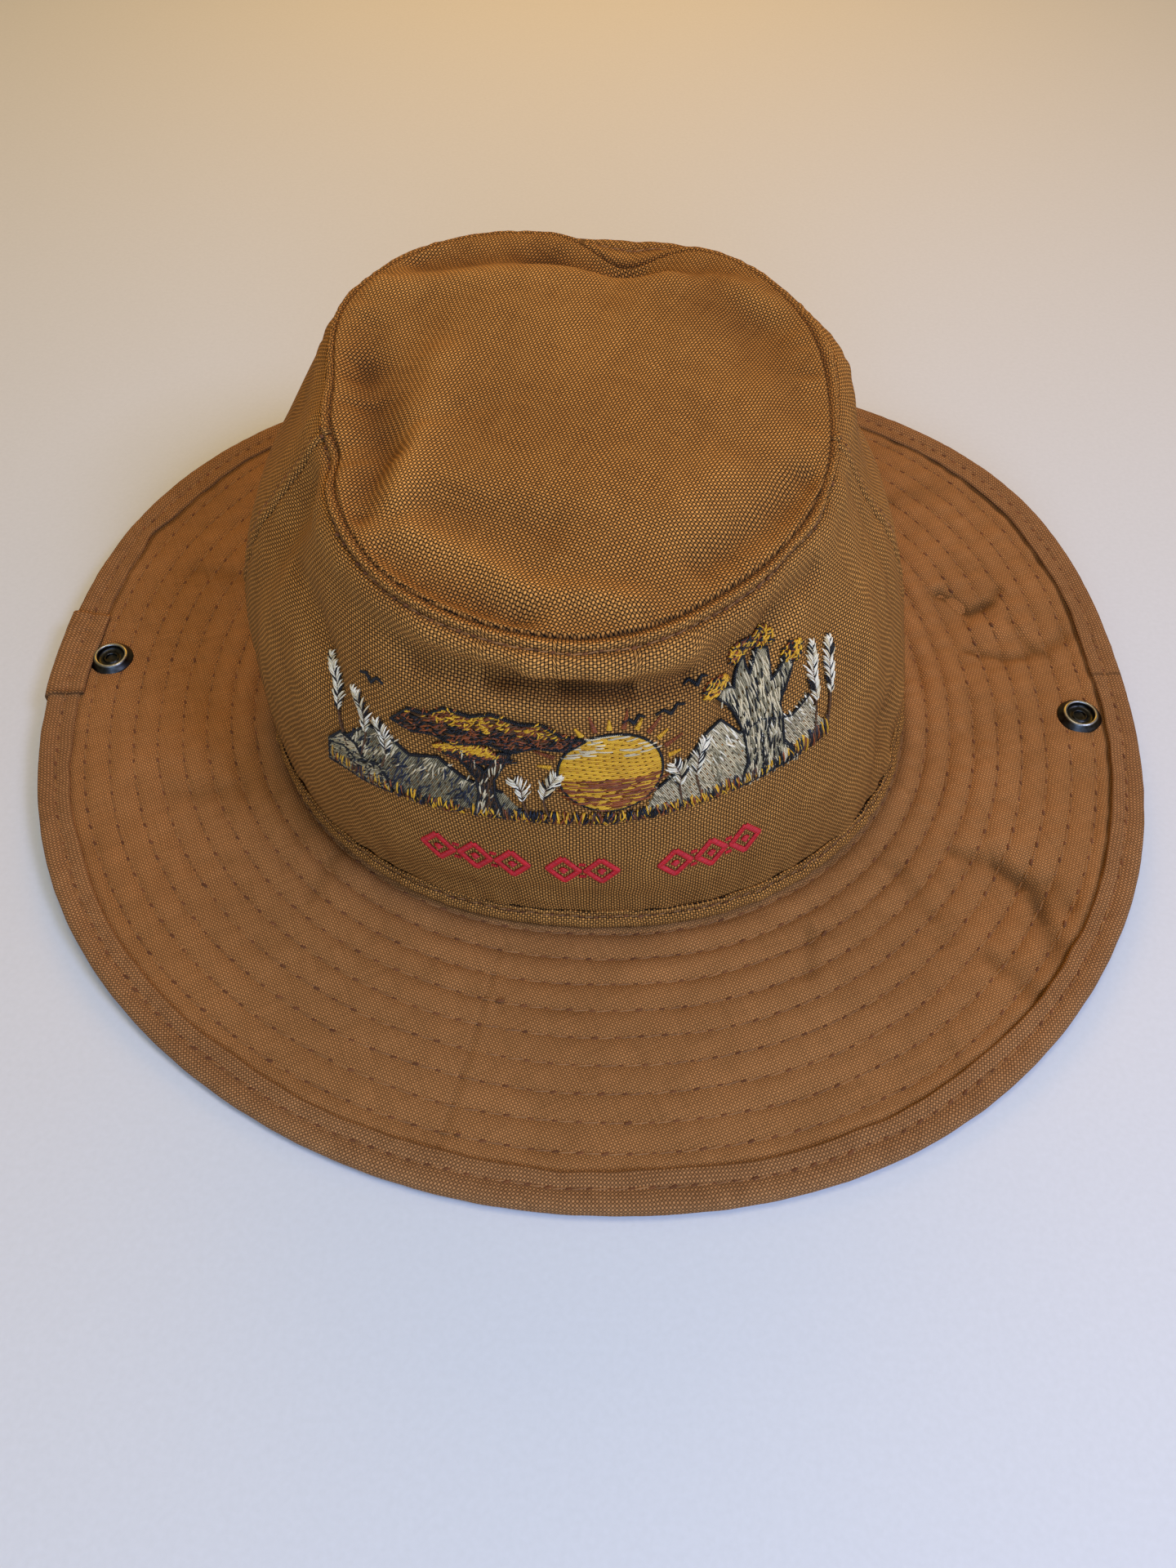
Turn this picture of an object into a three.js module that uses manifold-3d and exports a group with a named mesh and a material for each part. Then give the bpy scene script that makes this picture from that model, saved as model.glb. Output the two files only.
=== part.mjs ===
// Safari hat in brown canvas, standing on its brim as it would on a table.
//
// Millimetres. +Z is up, -Y is the front with the embroidery and +X is to the right when the
// front is looked at: left and right are meant that way. The origin is the middle of the hat's
// box, on the table.
//
// Everything is worked out from three closed outlines (the foot of the crown, the seam of the
// tip and the rim of the brim), one side profile and four short lists of folds and sags.

import * as THREE from 'three';
import Module from 'manifold-3d';
import { mergeVertices } from 'three/addons/utils/BufferGeometryUtils.js';

const wasm = await Module();
wasm.setup();

// ---------------------------------------------------------------- driving dimensions

const CANVAS = 1.2;          // crown cloth
const BRIM_CLOTH = 1.0;      // each of the two cloths of the brim
const TAPE = 1.0;            // bias tape of the rim
const GAP = 0.3;             // between pieces that are sewn together
const FOOT_HEIGHT = 6.8;     // middle of the brim's thickness at the crown
const LEAN = { x: -4, y: -1 };   // the tip's centre, seen from above, past the foot's centre
const TIP_LEVEL = 110.5;     // cloth of the tip above the table, at its centre
const BAND_HEIGHT = 6;       // turned strip that joins the crown to the brim
const BAND_CLOTH = 1.6;
const BAND_BULGE = 0.9;
const BAND_SEAT = 0.5;       // above the sloping cloth of the brim
const BRIM_TUCK = 2;         // the brim's cloth reaches this far in under the strip
const TAPE_EDGE = { side: 0.873, front: 0.845 };   // share of the brim's width where the tape begins
const TAPE_LAP = { angle: 179, halfWidth: 5.5, rise: 0.6 };        // where its end lies on its start
const SNAP = {
  share: 0.775, ring: 12.6, height: 2.0, bowl: 8.2, post: 5, hole: 3, back: 10, backHeight: 1.1,
};
const SEAM_CLEAR = 0.12;     // degrees on each side of a side seam, about half the gap

const ANGLE_STEPS = 54;
const TIP_RINGS = [0.2, 0.4, 0.58, 0.74, 0.88, 1];
const SIDE_ROWS = [0.068, 0.18, 0.3, 0.43, 0.55, 0.66, 0.75, 0.83, 0.885, 0.925, 0.96, 0.988];
const BRIM_ROWS = [0.2, 0.4, 0.6, 0.78, 0.918];
const BRIM_UNDER_END = 0.97;

// A closed outline has a row each 30 degrees: 0 is right, 90 back, 180 left and 270 front.
// Radii of foot and rim are from the middle of the foot, those of the seam from the tip's
// centre. A lift under 0 is cut off by the table, where the rim lies flat.
const OUTLINE = table(
  ['angle', 'foot', 'seam', 'seamHeight', 'rim', 'lift'],
  [0, 91.5, 61.5, 104, 161.5, 7],
  [30, 91.5, 67, 107, 166.5, 11],
  [60, 89.5, 75, 107.5, 168, 5.5],
  [90, 89, 75, 107.5, 166.5, -2],
  [120, 89.5, 74.5, 110, 166.5, 5.5],
  [150, 91, 68, 110.5, 166, 10],
  [180, 91.5, 58.5, 108.5, 162, 7.5],
  [210, 91.5, 63.5, 106, 162.5, 3],
  [240, 90.5, 74, 104, 160.5, -0.5],
  [270, 89, 78.5, 102, 161.5, -1],
  [300, 92, 70, 101.5, 165.5, -0.5],
  [330, 93, 64, 102, 165, 3],
);

// How far the side stands out past the straight line from foot to seam, by share of height.
const PROFILE = table(
  ['share', 'right', 'back', 'left', 'front'],
  [0, 0, 0, 0, 0],
  [0.06, 2.5, 1, 4, 0.5],
  [0.18, 5.5, 3, 8.5, 2.5],
  [0.35, 8, 5, 13, 4.5],
  [0.5, 9.5, 6, 16, 5],
  [0.68, 9, 6, 15, 4.5],
  [0.8, 5, 6, 10.5, 3.5],
  [0.9, 2.5, 5, 5.5, 2.5],
  [0.96, 1, 3.5, 2, 3],
  [1, 0, 0, 0, 0],
);

// Folds of the side: place and half size by angle and share of height, degrees that the fold
// drifts over the whole height, and how far it stands out (minus is a hollow).
const SIDE_FOLDS = table(
  ['angle', 'share', 'wide', 'tall', 'drift', 'out'],
  [263, 0.895, 15, 0.035, 0, -2.4],
  [264, 0.8, 16, 0.06, 0, 1],
  [303, 0.8, 7, 0.16, 60, -2.6],
  [326, 0.6, 5, 0.3, 0, 1.5],
  [333, 0.25, 5, 0.2, -40, -2.5],
  [222, 0.74, 8, 0.14, -70, -2.2],
  [203, 0.85, 6, 0.12, 0, -1.5],
  [150, 0.55, 9, 0.25, 30, -2],
  [92, 0.72, 16, 0.07, 0, -2.5],
  [72, 0.95, 12, 0.05, 0, 2.5],
  [26, 0.93, 17, 0.06, 0, 4],
  [8, 0.9, 10, 0.08, 0, 2],
  [40, 0.5, 8, 0.25, -30, -2],
);

// Where the seam of the tip sags: place and half width by angle, and how far in and down.
const SEAM_SAGS = table(
  ['angle', 'wide', 'inward', 'down'],
  [79.5, 12, 6, 3.5],
);

// Dents of the tip: place from the tip's centre, half sizes along and across, turn, and rise.
const TIP_FOLDS = table(
  ['x', 'y', 'along', 'across', 'turn', 'rise'],
  [0, 38, 48, 20, 0, 4],
  [-26, -56, 22, 9, -28, -3.4],
  [-43, 14, 26, 9, 75, -2.2],
  [14, 63, 15, 8, 0, -4],
  [47, 30, 20, 9, 70, -2.6],
  [20, -40, 34, 16, 15, 1.2],
);

// Waves of the brim: place and half size by angle and share of width, and rise.
const BRIM_FOLDS = table(
  ['angle', 'share', 'wide', 'deep', 'rise'],
  [12, 0.42, 5, 0.14, -2],
  [4, 0.55, 5, 0.25, -1.4],
  [326, 0.66, 6, 0.26, -2.2],
  [300, 0.4, 14, 0.3, 1],
  [240, 0.4, 14, 0.3, 1],
  [196, 0.5, 9, 0.3, 1.4],
  [150, 0.6, 10, 0.3, -1.6],
  [60, 0.5, 12, 0.3, 1.8],
  [112, 0.45, 12, 0.3, 1.5],
);

// Where the two halves of the crown's side meet, by angle at the foot and at the tip.
const SIDE_SEAMS = { right: { foot: 358, tip: 349 }, left: { foot: 183, tip: 196 } };

const COLOURS = { canvas: 0x8f5f2c, tape: 0x85572b, band: 0x83552a, snap: 0x4a4238 };

// ---------------------------------------------------------------- tables and curves

function table(columns, ...rows) {
  return rows.map((row) => Object.fromEntries(columns.map((name, i) => [name, row[i]])));
}

// Smooth closed curve through the rows of OUTLINE.
function outline(column, degrees) {
  const count = OUTLINE.length;
  const place = (((degrees % 360) + 360) % 360) / (360 / count);
  const first = Math.floor(place);
  const part = place - first;
  const [a, b, c, d] = [-1, 0, 1, 2].map((i) => OUTLINE[(first + i + count) % count][column]);
  const bend = 2 * a - 5 * b + 4 * c - d + part * (3 * (b - c) + d - a);
  return b + 0.5 * part * (c - a + part * bend);
}

// Smooth curve through the rows of PROFILE.
function profile(column, share) {
  let row = 0;
  while (row < PROFILE.length - 2 && PROFILE[row + 1].share <= share) row += 1;
  const at = (i) => PROFILE[Math.min(Math.max(i, 0), PROFILE.length - 1)];
  const slope = (i) => (at(i + 1)[column] - at(i - 1)[column]) / (at(i + 1).share - at(i - 1).share);
  const span = at(row + 1).share - at(row).share;
  const part = (share - at(row).share) / span;
  const rise = part * part * (3 - 2 * part);
  const leave = part * (1 - part) * (1 - part) * span * slope(row);
  const arrive = -part * part * (1 - part) * span * slope(row + 1);
  return at(row)[column] * (1 - rise) + at(row + 1)[column] * rise + leave + arrive;
}

const radians = THREE.MathUtils.degToRad;
const bell = (offset) => Math.exp(-offset * offset);
const turnBetween = (a, b) => ((((a - b) % 360) + 540) % 360) - 180;
const around = (degrees, radius, z) => new THREE.Vector3(
  radius * Math.cos(radians(degrees)),
  radius * Math.sin(radians(degrees)),
  z,
);

// ---------------------------------------------------------------- the hat's three surfaces

const BRIM_HALF = BRIM_CLOTH + GAP / 2;
const RIM_HALF = BRIM_HALF + GAP + TAPE;
const rimLift = (degrees) => Math.max(0, outline('lift', degrees));

function seamPoint(degrees) {
  let radius = outline('seam', degrees);
  let height = outline('seamHeight', degrees);
  for (const sag of SEAM_SAGS) {
    const near = bell(turnBetween(degrees, sag.angle) / sag.wide);
    radius -= sag.inward * near;
    height -= sag.down * near;
  }
  const point = around(degrees, radius, height);
  return point.add(new THREE.Vector3(LEAN.x, LEAN.y, 0));
}

// Outside of the crown's side: share 0 is the foot and 1 the seam of the tip.
function sidePoint(degrees, share) {
  const foot = around(degrees, outline('foot', degrees), FOOT_HEIGHT + BRIM_HALF);
  const out = around(degrees, 1, 0);
  let bulge = Math.max(out.x, 0) ** 2 * profile('right', share)
    + Math.max(out.y, 0) ** 2 * profile('back', share)
    + Math.max(-out.x, 0) ** 2 * profile('left', share)
    + Math.max(-out.y, 0) ** 2 * profile('front', share);
  for (const fold of SIDE_FOLDS) {
    const offset = turnBetween(degrees, fold.angle + fold.drift * (share - fold.share));
    const near = bell((share - fold.share) / fold.tall) * Math.min(1, (1 - share) / 0.02);
    bulge += fold.out * bell(offset / fold.wide) * near;
  }
  return foot.lerp(seamPoint(degrees), share).addScaledVector(out, bulge);
}

// Top of the tip: share 0 is its centre and 1 its seam.
function tipPoint(degrees, share) {
  const point = seamPoint(degrees);
  point.x = LEAN.x + (point.x - LEAN.x) * share;
  point.y = LEAN.y + (point.y - LEAN.y) * share;
  point.z = THREE.MathUtils.lerp(TIP_LEVEL, point.z, share * share);
  for (const fold of TIP_FOLDS) {
    const offset = new THREE.Vector2(point.x - LEAN.x - fold.x, point.y - LEAN.y - fold.y);
    offset.rotateAround(new THREE.Vector2(), -radians(fold.turn));
    const fade = 1 - share ** 8;
    point.z += fade * fold.rise * bell(offset.x / fold.along) * bell(offset.y / fold.across);
  }
  return point;
}

// Middle of the brim's thickness: share 0 is the foot of the crown and 1 the rim.
function brimPoint(degrees, share) {
  const foot = around(degrees, outline('foot', degrees), FOOT_HEIGHT);
  const rim = around(degrees, outline('rim', degrees), rimLift(degrees) + RIM_HALF);
  const point = foot.lerp(rim, share);
  for (const fold of BRIM_FOLDS) {
    const offset = turnBetween(degrees, fold.angle) / fold.wide;
    point.z += fold.rise * bell(offset) * bell((share - fold.share) / fold.deep);
  }
  return point;
}

function normalOf(surface, degrees, share) {
  const along = surface(degrees + 0.5, share).sub(surface(degrees - 0.5, share));
  const across = surface(degrees, share + 0.005).sub(surface(degrees, share - 0.005));
  return along.cross(across).normalize();
}

const outOfSide = (degrees, share) => normalOf(sidePoint, degrees, share);
const outOfBrim = (degrees, share) => normalOf(brimPoint, degrees, share).negate();

// ---------------------------------------------------------------- closed bodies

// Joins closed sections, each a list of points run in the same sense, into one body. The
// second half of a section runs back along the lining, so its facets are split the other way
// and lie level with those of the face.
function loft(sections, isRing) {
  const size = sections[0].length;
  const triangles = [];
  const push = (a, b, c) => triangles.push(a.x, a.y, a.z, b.x, b.y, b.z, c.x, c.y, c.z);
  const last = isRing ? sections.length : sections.length - 1;
  for (let i = 0; i < last; i += 1) {
    const here = sections[i];
    const next = sections[(i + 1) % sections.length];
    for (let j = 0; j < size; j += 1) {
      const k = (j + 1) % size;
      if (j < size / 2) {
        push(here[j], next[j], next[k]);
        push(here[j], next[k], here[k]);
      } else {
        push(here[j], next[j], here[k]);
        push(next[j], next[k], here[k]);
      }
    }
  }
  if (!isRing) {
    closeStrip(sections[0], (a, b, c) => push(a, b, c));
    closeStrip(sections[sections.length - 1], (a, b, c) => push(a, c, b));
  }
  return geometryOf(triangles);
}

// Fills the end of a wall, whose section runs out along one face and back along the other.
function closeStrip(section, push) {
  const size = section.length;
  for (let j = 0; j < size / 2 - 1; j += 1) {
    push(section[j], section[j + 1], section[size - 1 - j]);
    push(section[j + 1], section[size - 2 - j], section[size - 1 - j]);
  }
}

function geometryOf(triangles) {
  const geometry = new THREE.BufferGeometry();
  geometry.setAttribute('position', new THREE.Float32BufferAttribute(triangles, 3));
  return mergeVertices(geometry, 1e-4);
}

function ringOf(sectionAt) {
  const angles = Array.from({ length: ANGLE_STEPS }, (_, i) => (i * 360) / ANGLE_STEPS);
  return loft(angles.map(sectionAt), true);
}

// ---------------------------------------------------------------- pieces of the crown

function crownTip() {
  const triangles = [];
  const push = (a, b, c) => triangles.push(a.x, a.y, a.z, b.x, b.y, b.z, c.x, c.y, c.z);
  const face = (drop) => (i, ring) => {
    const degrees = ((i % ANGLE_STEPS) * 360) / ANGLE_STEPS;
    const share = ring < 0 ? 0 : TIP_RINGS[ring];
    return tipPoint(degrees, share).add(new THREE.Vector3(0, 0, -drop));
  };
  const top = face(0);
  const under = face(CANVAS);
  const rim = TIP_RINGS.length - 1;
  for (let i = 0; i < ANGLE_STEPS; i += 1) {
    push(top(0, -1), top(i, 0), top(i + 1, 0));
    push(under(0, -1), under(i + 1, 0), under(i, 0));
    for (let ring = 0; ring < rim; ring += 1) {
      push(top(i, ring), top(i, ring + 1), top(i + 1, ring + 1));
      push(top(i, ring), top(i + 1, ring + 1), top(i + 1, ring));
      push(under(i, ring), under(i + 1, ring + 1), under(i, ring + 1));
      push(under(i, ring), under(i + 1, ring), under(i + 1, ring + 1));
    }
    push(top(i, rim), under(i, rim), under(i + 1, rim));
    push(top(i, rim), under(i + 1, rim), top(i + 1, rim));
  }
  return geometryOf(triangles);
}

// One half of the side, from one side seam round to the other.
function crownSide(from, to) {
  const steps = ANGLE_STEPS / 2;
  const seamAngle = (seam, share) => THREE.MathUtils.lerp(seam.foot, seam.tip, share);
  const panelPoint = (part, share) => {
    const start = seamAngle(from, share) + SEAM_CLEAR;
    const sweep = (((seamAngle(to, share) - SEAM_CLEAR - start) % 360) + 360) % 360;
    return [start + sweep * part, share];
  };
  const sections = Array.from({ length: steps + 1 }, (_, i) => {
    const points = SIDE_ROWS.map((share) => {
      const place = panelPoint(i / steps, share);
      return { face: sidePoint(...place), normal: outOfSide(...place) };
    });
    const face = points.map((point) => point.face);
    const lining = points.map((point) => point.face.clone().addScaledVector(point.normal, -CANVAS));
    return [...face, ...lining.reverse()];
  });
  return loft(sections, false);
}

// Turned strip at the foot: it stands on the brim and the side stands on it.
function crownBand() {
  const share = (height) => height / (outline('seamHeight', 0) - FOOT_HEIGHT - BRIM_HALF);
  const outerHeights = [BAND_SEAT, BAND_HEIGHT * 0.5, BAND_HEIGHT];
  return ringOf((degrees) => {
    const out = around(degrees, 1, 0);
    const face = outerHeights.map((height, i) => sidePoint(degrees, share(height))
      .addScaledVector(out, i === 1 ? BAND_BULGE : 0));
    const lining = [face[2], face[0]].map((point) => point.clone().addScaledVector(out, -BAND_CLOTH));
    return [...face, ...lining];
  });
}

// ---------------------------------------------------------------- pieces of the brim

// The cloths share their rows, so that their flat facets follow each other.
function brimCloth(upper, lower, ...moreRows) {
  const width = outline('rim', 0) - outline('foot', 0);
  const shares = [-BRIM_TUCK / width, ...BRIM_ROWS, ...moreRows].reverse();
  return ringOf((degrees) => {
    const layer = (offset) => shares.map((share) => brimPoint(degrees, share)
      .addScaledVector(outOfBrim(degrees, share), offset));
    return [...layer(upper), ...layer(lower).reverse()];
  });
}

// Bias tape folded over the rim. Its underside ends in a narrow band that is level with the
// table, and at the left the tape laps over its own start.
function rimBinding() {
  const inner = BRIM_HALF + GAP;
  const foot = { from: 0.935, to: 0.988 };             // the level band, by share of the width
  const fold = { low: 0.6, share: 0.985, high: 1.1 };  // rounding of the tape over the rim
  const shoulder = 0.93;
  const cavity = { shoulder: 0.925, end: 0.975, lip: 0.15 };
  return ringOf((degrees) => {
    const frontness = Math.max(0, -around(degrees, 1, 0).y) ** 2;
    const edge = THREE.MathUtils.lerp(TAPE_EDGE.side, TAPE_EDGE.front, frontness);
    const isLapped = Math.abs(turnBetween(degrees, TAPE_LAP.angle)) < TAPE_LAP.halfWidth;
    const top = RIM_HALF + (isLapped ? TAPE_LAP.rise : 0);
    const at = (share, height) => brimPoint(degrees, share).add(new THREE.Vector3(0, 0, height));
    const outside = [
      at(edge, -RIM_HALF),
      at(foot.from, 0).setZ(rimLift(degrees)),
      at(foot.to, 0).setZ(rimLift(degrees)),
      at(1, -fold.low),
      at(fold.share, fold.high),
      at(shoulder, top),
      at(edge, top),
    ];
    const inside = [
      at(edge, inner),
      at(cavity.shoulder, inner),
      at(cavity.end, cavity.lip),
      at(cavity.end, -inner),
      at(edge, -inner),
    ];
    return [...outside, ...inside];
  });
}

// Press fastener: a ring with a bowl above the brim, a post through it and a cap below.
function snapGeometry() {
  const { ring, height, bowl, post, hole, back, backHeight } = SNAP;
  const above = BRIM_HALF + GAP;
  const below = -above;
  const section = [
    [hole / 2, below - backHeight],
    [back / 2 - 0.5, below - backHeight],
    [back / 2, below - backHeight * 0.5],
    [back / 2, below],
    [post / 2, below],
    [post / 2, above],
    [ring / 2, above],
    [ring / 2, above + height * 0.4],
    [ring / 2 - 1.2, above + height],
    [bowl / 2 + 0.3, above + height],
    [bowl / 2, above + height * 0.45],
    [hole / 2, above + height * 0.35],
  ];
  const points = [...section, section[0]].map(([radius, z]) => new THREE.Vector2(radius, z));
  const geometry = new THREE.LatheGeometry(points, 16);
  geometry.rotateX(Math.PI / 2);
  return geometry;
}

// Stands a body made about the origin, +Z out, on the brim at the given angle.
function placeOnBrim(geometry, degrees) {
  const up = outOfBrim(degrees, SNAP.share);
  const turn = new THREE.Quaternion().setFromUnitVectors(new THREE.Vector3(0, 0, 1), up);
  const place = brimPoint(degrees, SNAP.share);
  return geometry.applyMatrix4(new THREE.Matrix4().compose(place, turn, new THREE.Vector3(1, 1, 1)));
}

// ---------------------------------------------------------------- cuts

function manifoldOf(geometry) {
  const bare = geometry.clone();
  bare.deleteAttribute('normal');
  bare.deleteAttribute('uv');
  const merged = mergeVertices(bare, 1e-4);
  const mesh = new wasm.Mesh({
    numProp: 3,
    vertProperties: new Float32Array(merged.attributes.position.array),
    triVerts: new Uint32Array(merged.index.array),
  });
  mesh.merge();
  return new wasm.Manifold(mesh);
}

function geometryFrom(manifold) {
  const mesh = manifold.getMesh();
  const geometry = new THREE.BufferGeometry();
  geometry.setAttribute('position', new THREE.Float32BufferAttribute(mesh.vertProperties, 3));
  geometry.setIndex(Array.from(mesh.triVerts));
  return geometry;
}

function cut(geometry, tools) {
  const whole = manifoldOf(geometry);
  return geometryFrom(tools.reduce((body, tool) => body.subtract(manifoldOf(tool)), whole));
}

// ---------------------------------------------------------------- the hat

const SNAP_ANGLES = { snap_left: 179.2, snap_right: 353.6 };

const drills = Object.values(SNAP_ANGLES).map((degrees) => {
  const drill = new THREE.CylinderGeometry(SNAP.post / 2 + GAP, SNAP.post / 2 + GAP, 12, 16);
  drill.rotateX(Math.PI / 2);
  return placeOnBrim(drill, degrees);
});

const pieces = [
  ['crown_tip', crownTip(), COLOURS.canvas],
  ['crown_side_front', crownSide(SIDE_SEAMS.left, SIDE_SEAMS.right), COLOURS.canvas],
  ['crown_side_back', crownSide(SIDE_SEAMS.right, SIDE_SEAMS.left), COLOURS.canvas],
  ['crown_band', crownBand(), COLOURS.band],
  ['brim_top', cut(brimCloth(BRIM_HALF, GAP / 2), drills), COLOURS.canvas],
  ['brim_under', cut(brimCloth(-GAP / 2, -BRIM_HALF, BRIM_UNDER_END), drills), COLOURS.canvas],
  ['rim_binding', rimBinding(), COLOURS.tape],
];
for (const [name, degrees] of Object.entries(SNAP_ANGLES)) {
  pieces.push([name, placeOnBrim(snapGeometry(), degrees), COLOURS.snap]);
}

const hat = new THREE.Group();
for (const [name, geometry, colour] of pieces) {
  const isMetal = name.startsWith('snap');
  const material = new THREE.MeshStandardMaterial({
    color: colour,
    roughness: isMetal ? 0.35 : 0.9,
    metalness: isMetal ? 1 : 0,
    flatShading: true,
  });
  const mesh = new THREE.Mesh(geometry, material);
  mesh.name = name;
  hat.add(mesh);
}

// The box's middle goes to the origin, and the rim stays on the table.
const middle = new THREE.Box3().setFromObject(hat).getCenter(new THREE.Vector3());
hat.position.set(-middle.x, -middle.y, 0);

export default hat;
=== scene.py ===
"""Safari hat in brown cotton canvas, with a quilted brim, a bound rim, two press fasteners and an
embroidered front.

Lengths are in millimetres until placed() turns them to metres. Each cloth lies on one of three
surfaces, which are the ones of the CAD part: the crown's side, its tip and the brim. A place on a
surface is an angle round the hat and a share of the way across it. Each cloth gets its seams,
quilting, puckers and folds, its relief, from a function of its own.
"""

import bpy
import numpy as np
from mathutils import Matrix, Vector


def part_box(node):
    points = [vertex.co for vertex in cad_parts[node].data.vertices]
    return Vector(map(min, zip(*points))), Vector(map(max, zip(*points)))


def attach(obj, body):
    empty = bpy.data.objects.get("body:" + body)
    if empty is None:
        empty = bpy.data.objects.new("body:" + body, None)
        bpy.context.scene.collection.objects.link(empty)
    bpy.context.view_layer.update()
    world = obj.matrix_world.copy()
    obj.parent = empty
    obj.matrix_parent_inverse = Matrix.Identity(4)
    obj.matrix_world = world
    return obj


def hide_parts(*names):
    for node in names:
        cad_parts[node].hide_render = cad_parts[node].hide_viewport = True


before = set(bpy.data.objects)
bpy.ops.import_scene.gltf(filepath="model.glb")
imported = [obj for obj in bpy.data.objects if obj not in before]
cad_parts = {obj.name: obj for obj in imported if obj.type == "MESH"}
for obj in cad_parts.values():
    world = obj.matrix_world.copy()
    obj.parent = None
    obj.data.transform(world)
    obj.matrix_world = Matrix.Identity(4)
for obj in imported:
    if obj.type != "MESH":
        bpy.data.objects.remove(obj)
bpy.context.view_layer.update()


def table(columns, *rows):
    """Rows of numbers as one array a column."""
    return dict(zip(columns.split(), np.array(rows, float).T))


def rows_of(columns):
    """The rows of a table, each with its numbers in the order of the columns."""
    return zip(*columns.values())


# ------------------------------------------------------------------ sizes of the hat

CANVAS = 1.2             # crown cloth
BRIM_HALF = 1.15         # half of the brim: a cloth and half of the gap between the two
TAPE = 0.75              # bias tape, where it lies flat on the brim
RIM_HALF = 2.45
FOOT_HEIGHT = 6.8        # middle of the brim's thickness at the crown
LEAN = np.array([-4.0, -1.0, 0.0])
TIP_LEVEL = 110.5
SIDE_HEIGHT = 98.0       # along the cloth, from foot to tip
BRIM_WIDTH = 72.0
# Usual radii, for lengths along the cloth: the crown's foot and mid height, the middle of the
# brim, the line of the snaps and the rim.
FOOT_RADIUS, SIDE_RADIUS, BRIM_RADIUS, SNAP_RADIUS, RIM_RADIUS = 92.0, 84.0, 125.0, 148.0, 160.0
ROW_FIRST, ROW_SPACING, ROW_COUNT = 0.035, 0.0972, 9      # quilting, as shares of the brim's width
QUILT_PITCH, TAPE_PITCH, SEAM_PITCH = 5.7, 4.7, 3.4       # stitch lengths
TOPSTITCH = 2.3          # below the seam of the tip
STRIP_STITCH = 4.9       # above the foot of the strip
SEAM_STITCH = 4.2        # beside a side seam
TAPE_STITCH = 0.43       # as a share of the tape's width
SNAP_SHARE = 0.775
SNAPS = {"snap_left": 179.2, "snap_right": 353.6}

# Closed outlines by angle: 0 is right, 90 back, 180 left, 270 front.
OUTLINE = table(
    "angle foot seam seam_height rim lift",
    [0, 91.5, 61.5, 104, 161.5, 7],
    [30, 91.5, 67, 107, 166.5, 11],
    [60, 89.5, 75, 107.5, 168, 5.5],
    [90, 89, 75, 107.5, 166.5, -2],
    [120, 89.5, 74.5, 110, 166.5, 5.5],
    [150, 91, 68, 110.5, 166, 10],
    [180, 91.5, 58.5, 108.5, 162, 7.5],
    [210, 91.5, 63.5, 106, 162.5, 3],
    [240, 90.5, 74, 104, 160.5, -0.5],
    [270, 89, 78.5, 102, 161.5, -1],
    [300, 92, 70, 101.5, 165.5, -0.5],
    [330, 93, 64, 102, 165, 3],
)

# How far the side stands out past the straight line from foot to seam, by share of height.
PROFILE = table(
    "share right back left front",
    [0, 0, 0, 0, 0],
    [0.06, 2.5, 1, 4, 0.5],
    [0.18, 5.5, 3, 8.5, 2.5],
    [0.35, 8, 5, 13, 4.5],
    [0.5, 9.5, 6, 16, 5],
    [0.68, 9, 6, 15, 4.5],
    [0.8, 5, 6, 10.5, 3.5],
    [0.9, 2.5, 5, 5.5, 2.5],
    [0.96, 1, 3.5, 2, 3],
    [1, 0, 0, 0, 0],
)

# Broad folds of the side.
SIDE_FOLDS = table(
    "angle share wide tall drift out",
    [263, 0.895, 15, 0.035, 0, -2.4],
    [264, 0.8, 16, 0.06, 0, 1],
    [303, 0.8, 7, 0.16, 60, -2.6],
    [326, 0.6, 5, 0.3, 0, 1.5],
    [333, 0.25, 5, 0.2, -40, -2.5],
    [222, 0.74, 8, 0.14, -70, -2.2],
    [203, 0.85, 6, 0.12, 0, -1.5],
    [150, 0.55, 9, 0.25, 30, -2],
    [92, 0.72, 16, 0.07, 0, -2.5],
    [72, 0.95, 12, 0.05, 0, 2.5],
    [26, 0.93, 17, 0.06, 0, 4],
    [8, 0.9, 10, 0.08, 0, 2],
    [40, 0.5, 8, 0.25, -30, -2],
)

# Broad dents of the tip, from its centre.
TIP_FOLDS = table(
    "x y along across turn rise",
    [0, 38, 48, 20, 0, 4],
    [-26, -56, 22, 9, -28, -3.4],
    [-43, 14, 26, 9, 75, -2.2],
    [14, 63, 15, 8, 0, -4],
    [47, 30, 20, 9, 70, -2.6],
    [20, -40, 34, 16, 15, 1.2],
)

# Broad waves of the brim.
BRIM_FOLDS = table(
    "angle share wide deep rise",
    [12, 0.42, 5, 0.14, -2],
    [4, 0.55, 5, 0.25, -1.4],
    [326, 0.66, 6, 0.26, -2.2],
    [300, 0.4, 14, 0.3, 1],
    [240, 0.4, 14, 0.3, 1],
    [196, 0.5, 9, 0.3, 1.4],
    [150, 0.6, 10, 0.3, -1.6],
    [60, 0.5, 12, 0.3, 1.8],
    [112, 0.45, 12, 0.3, 1.5],
)

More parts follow.
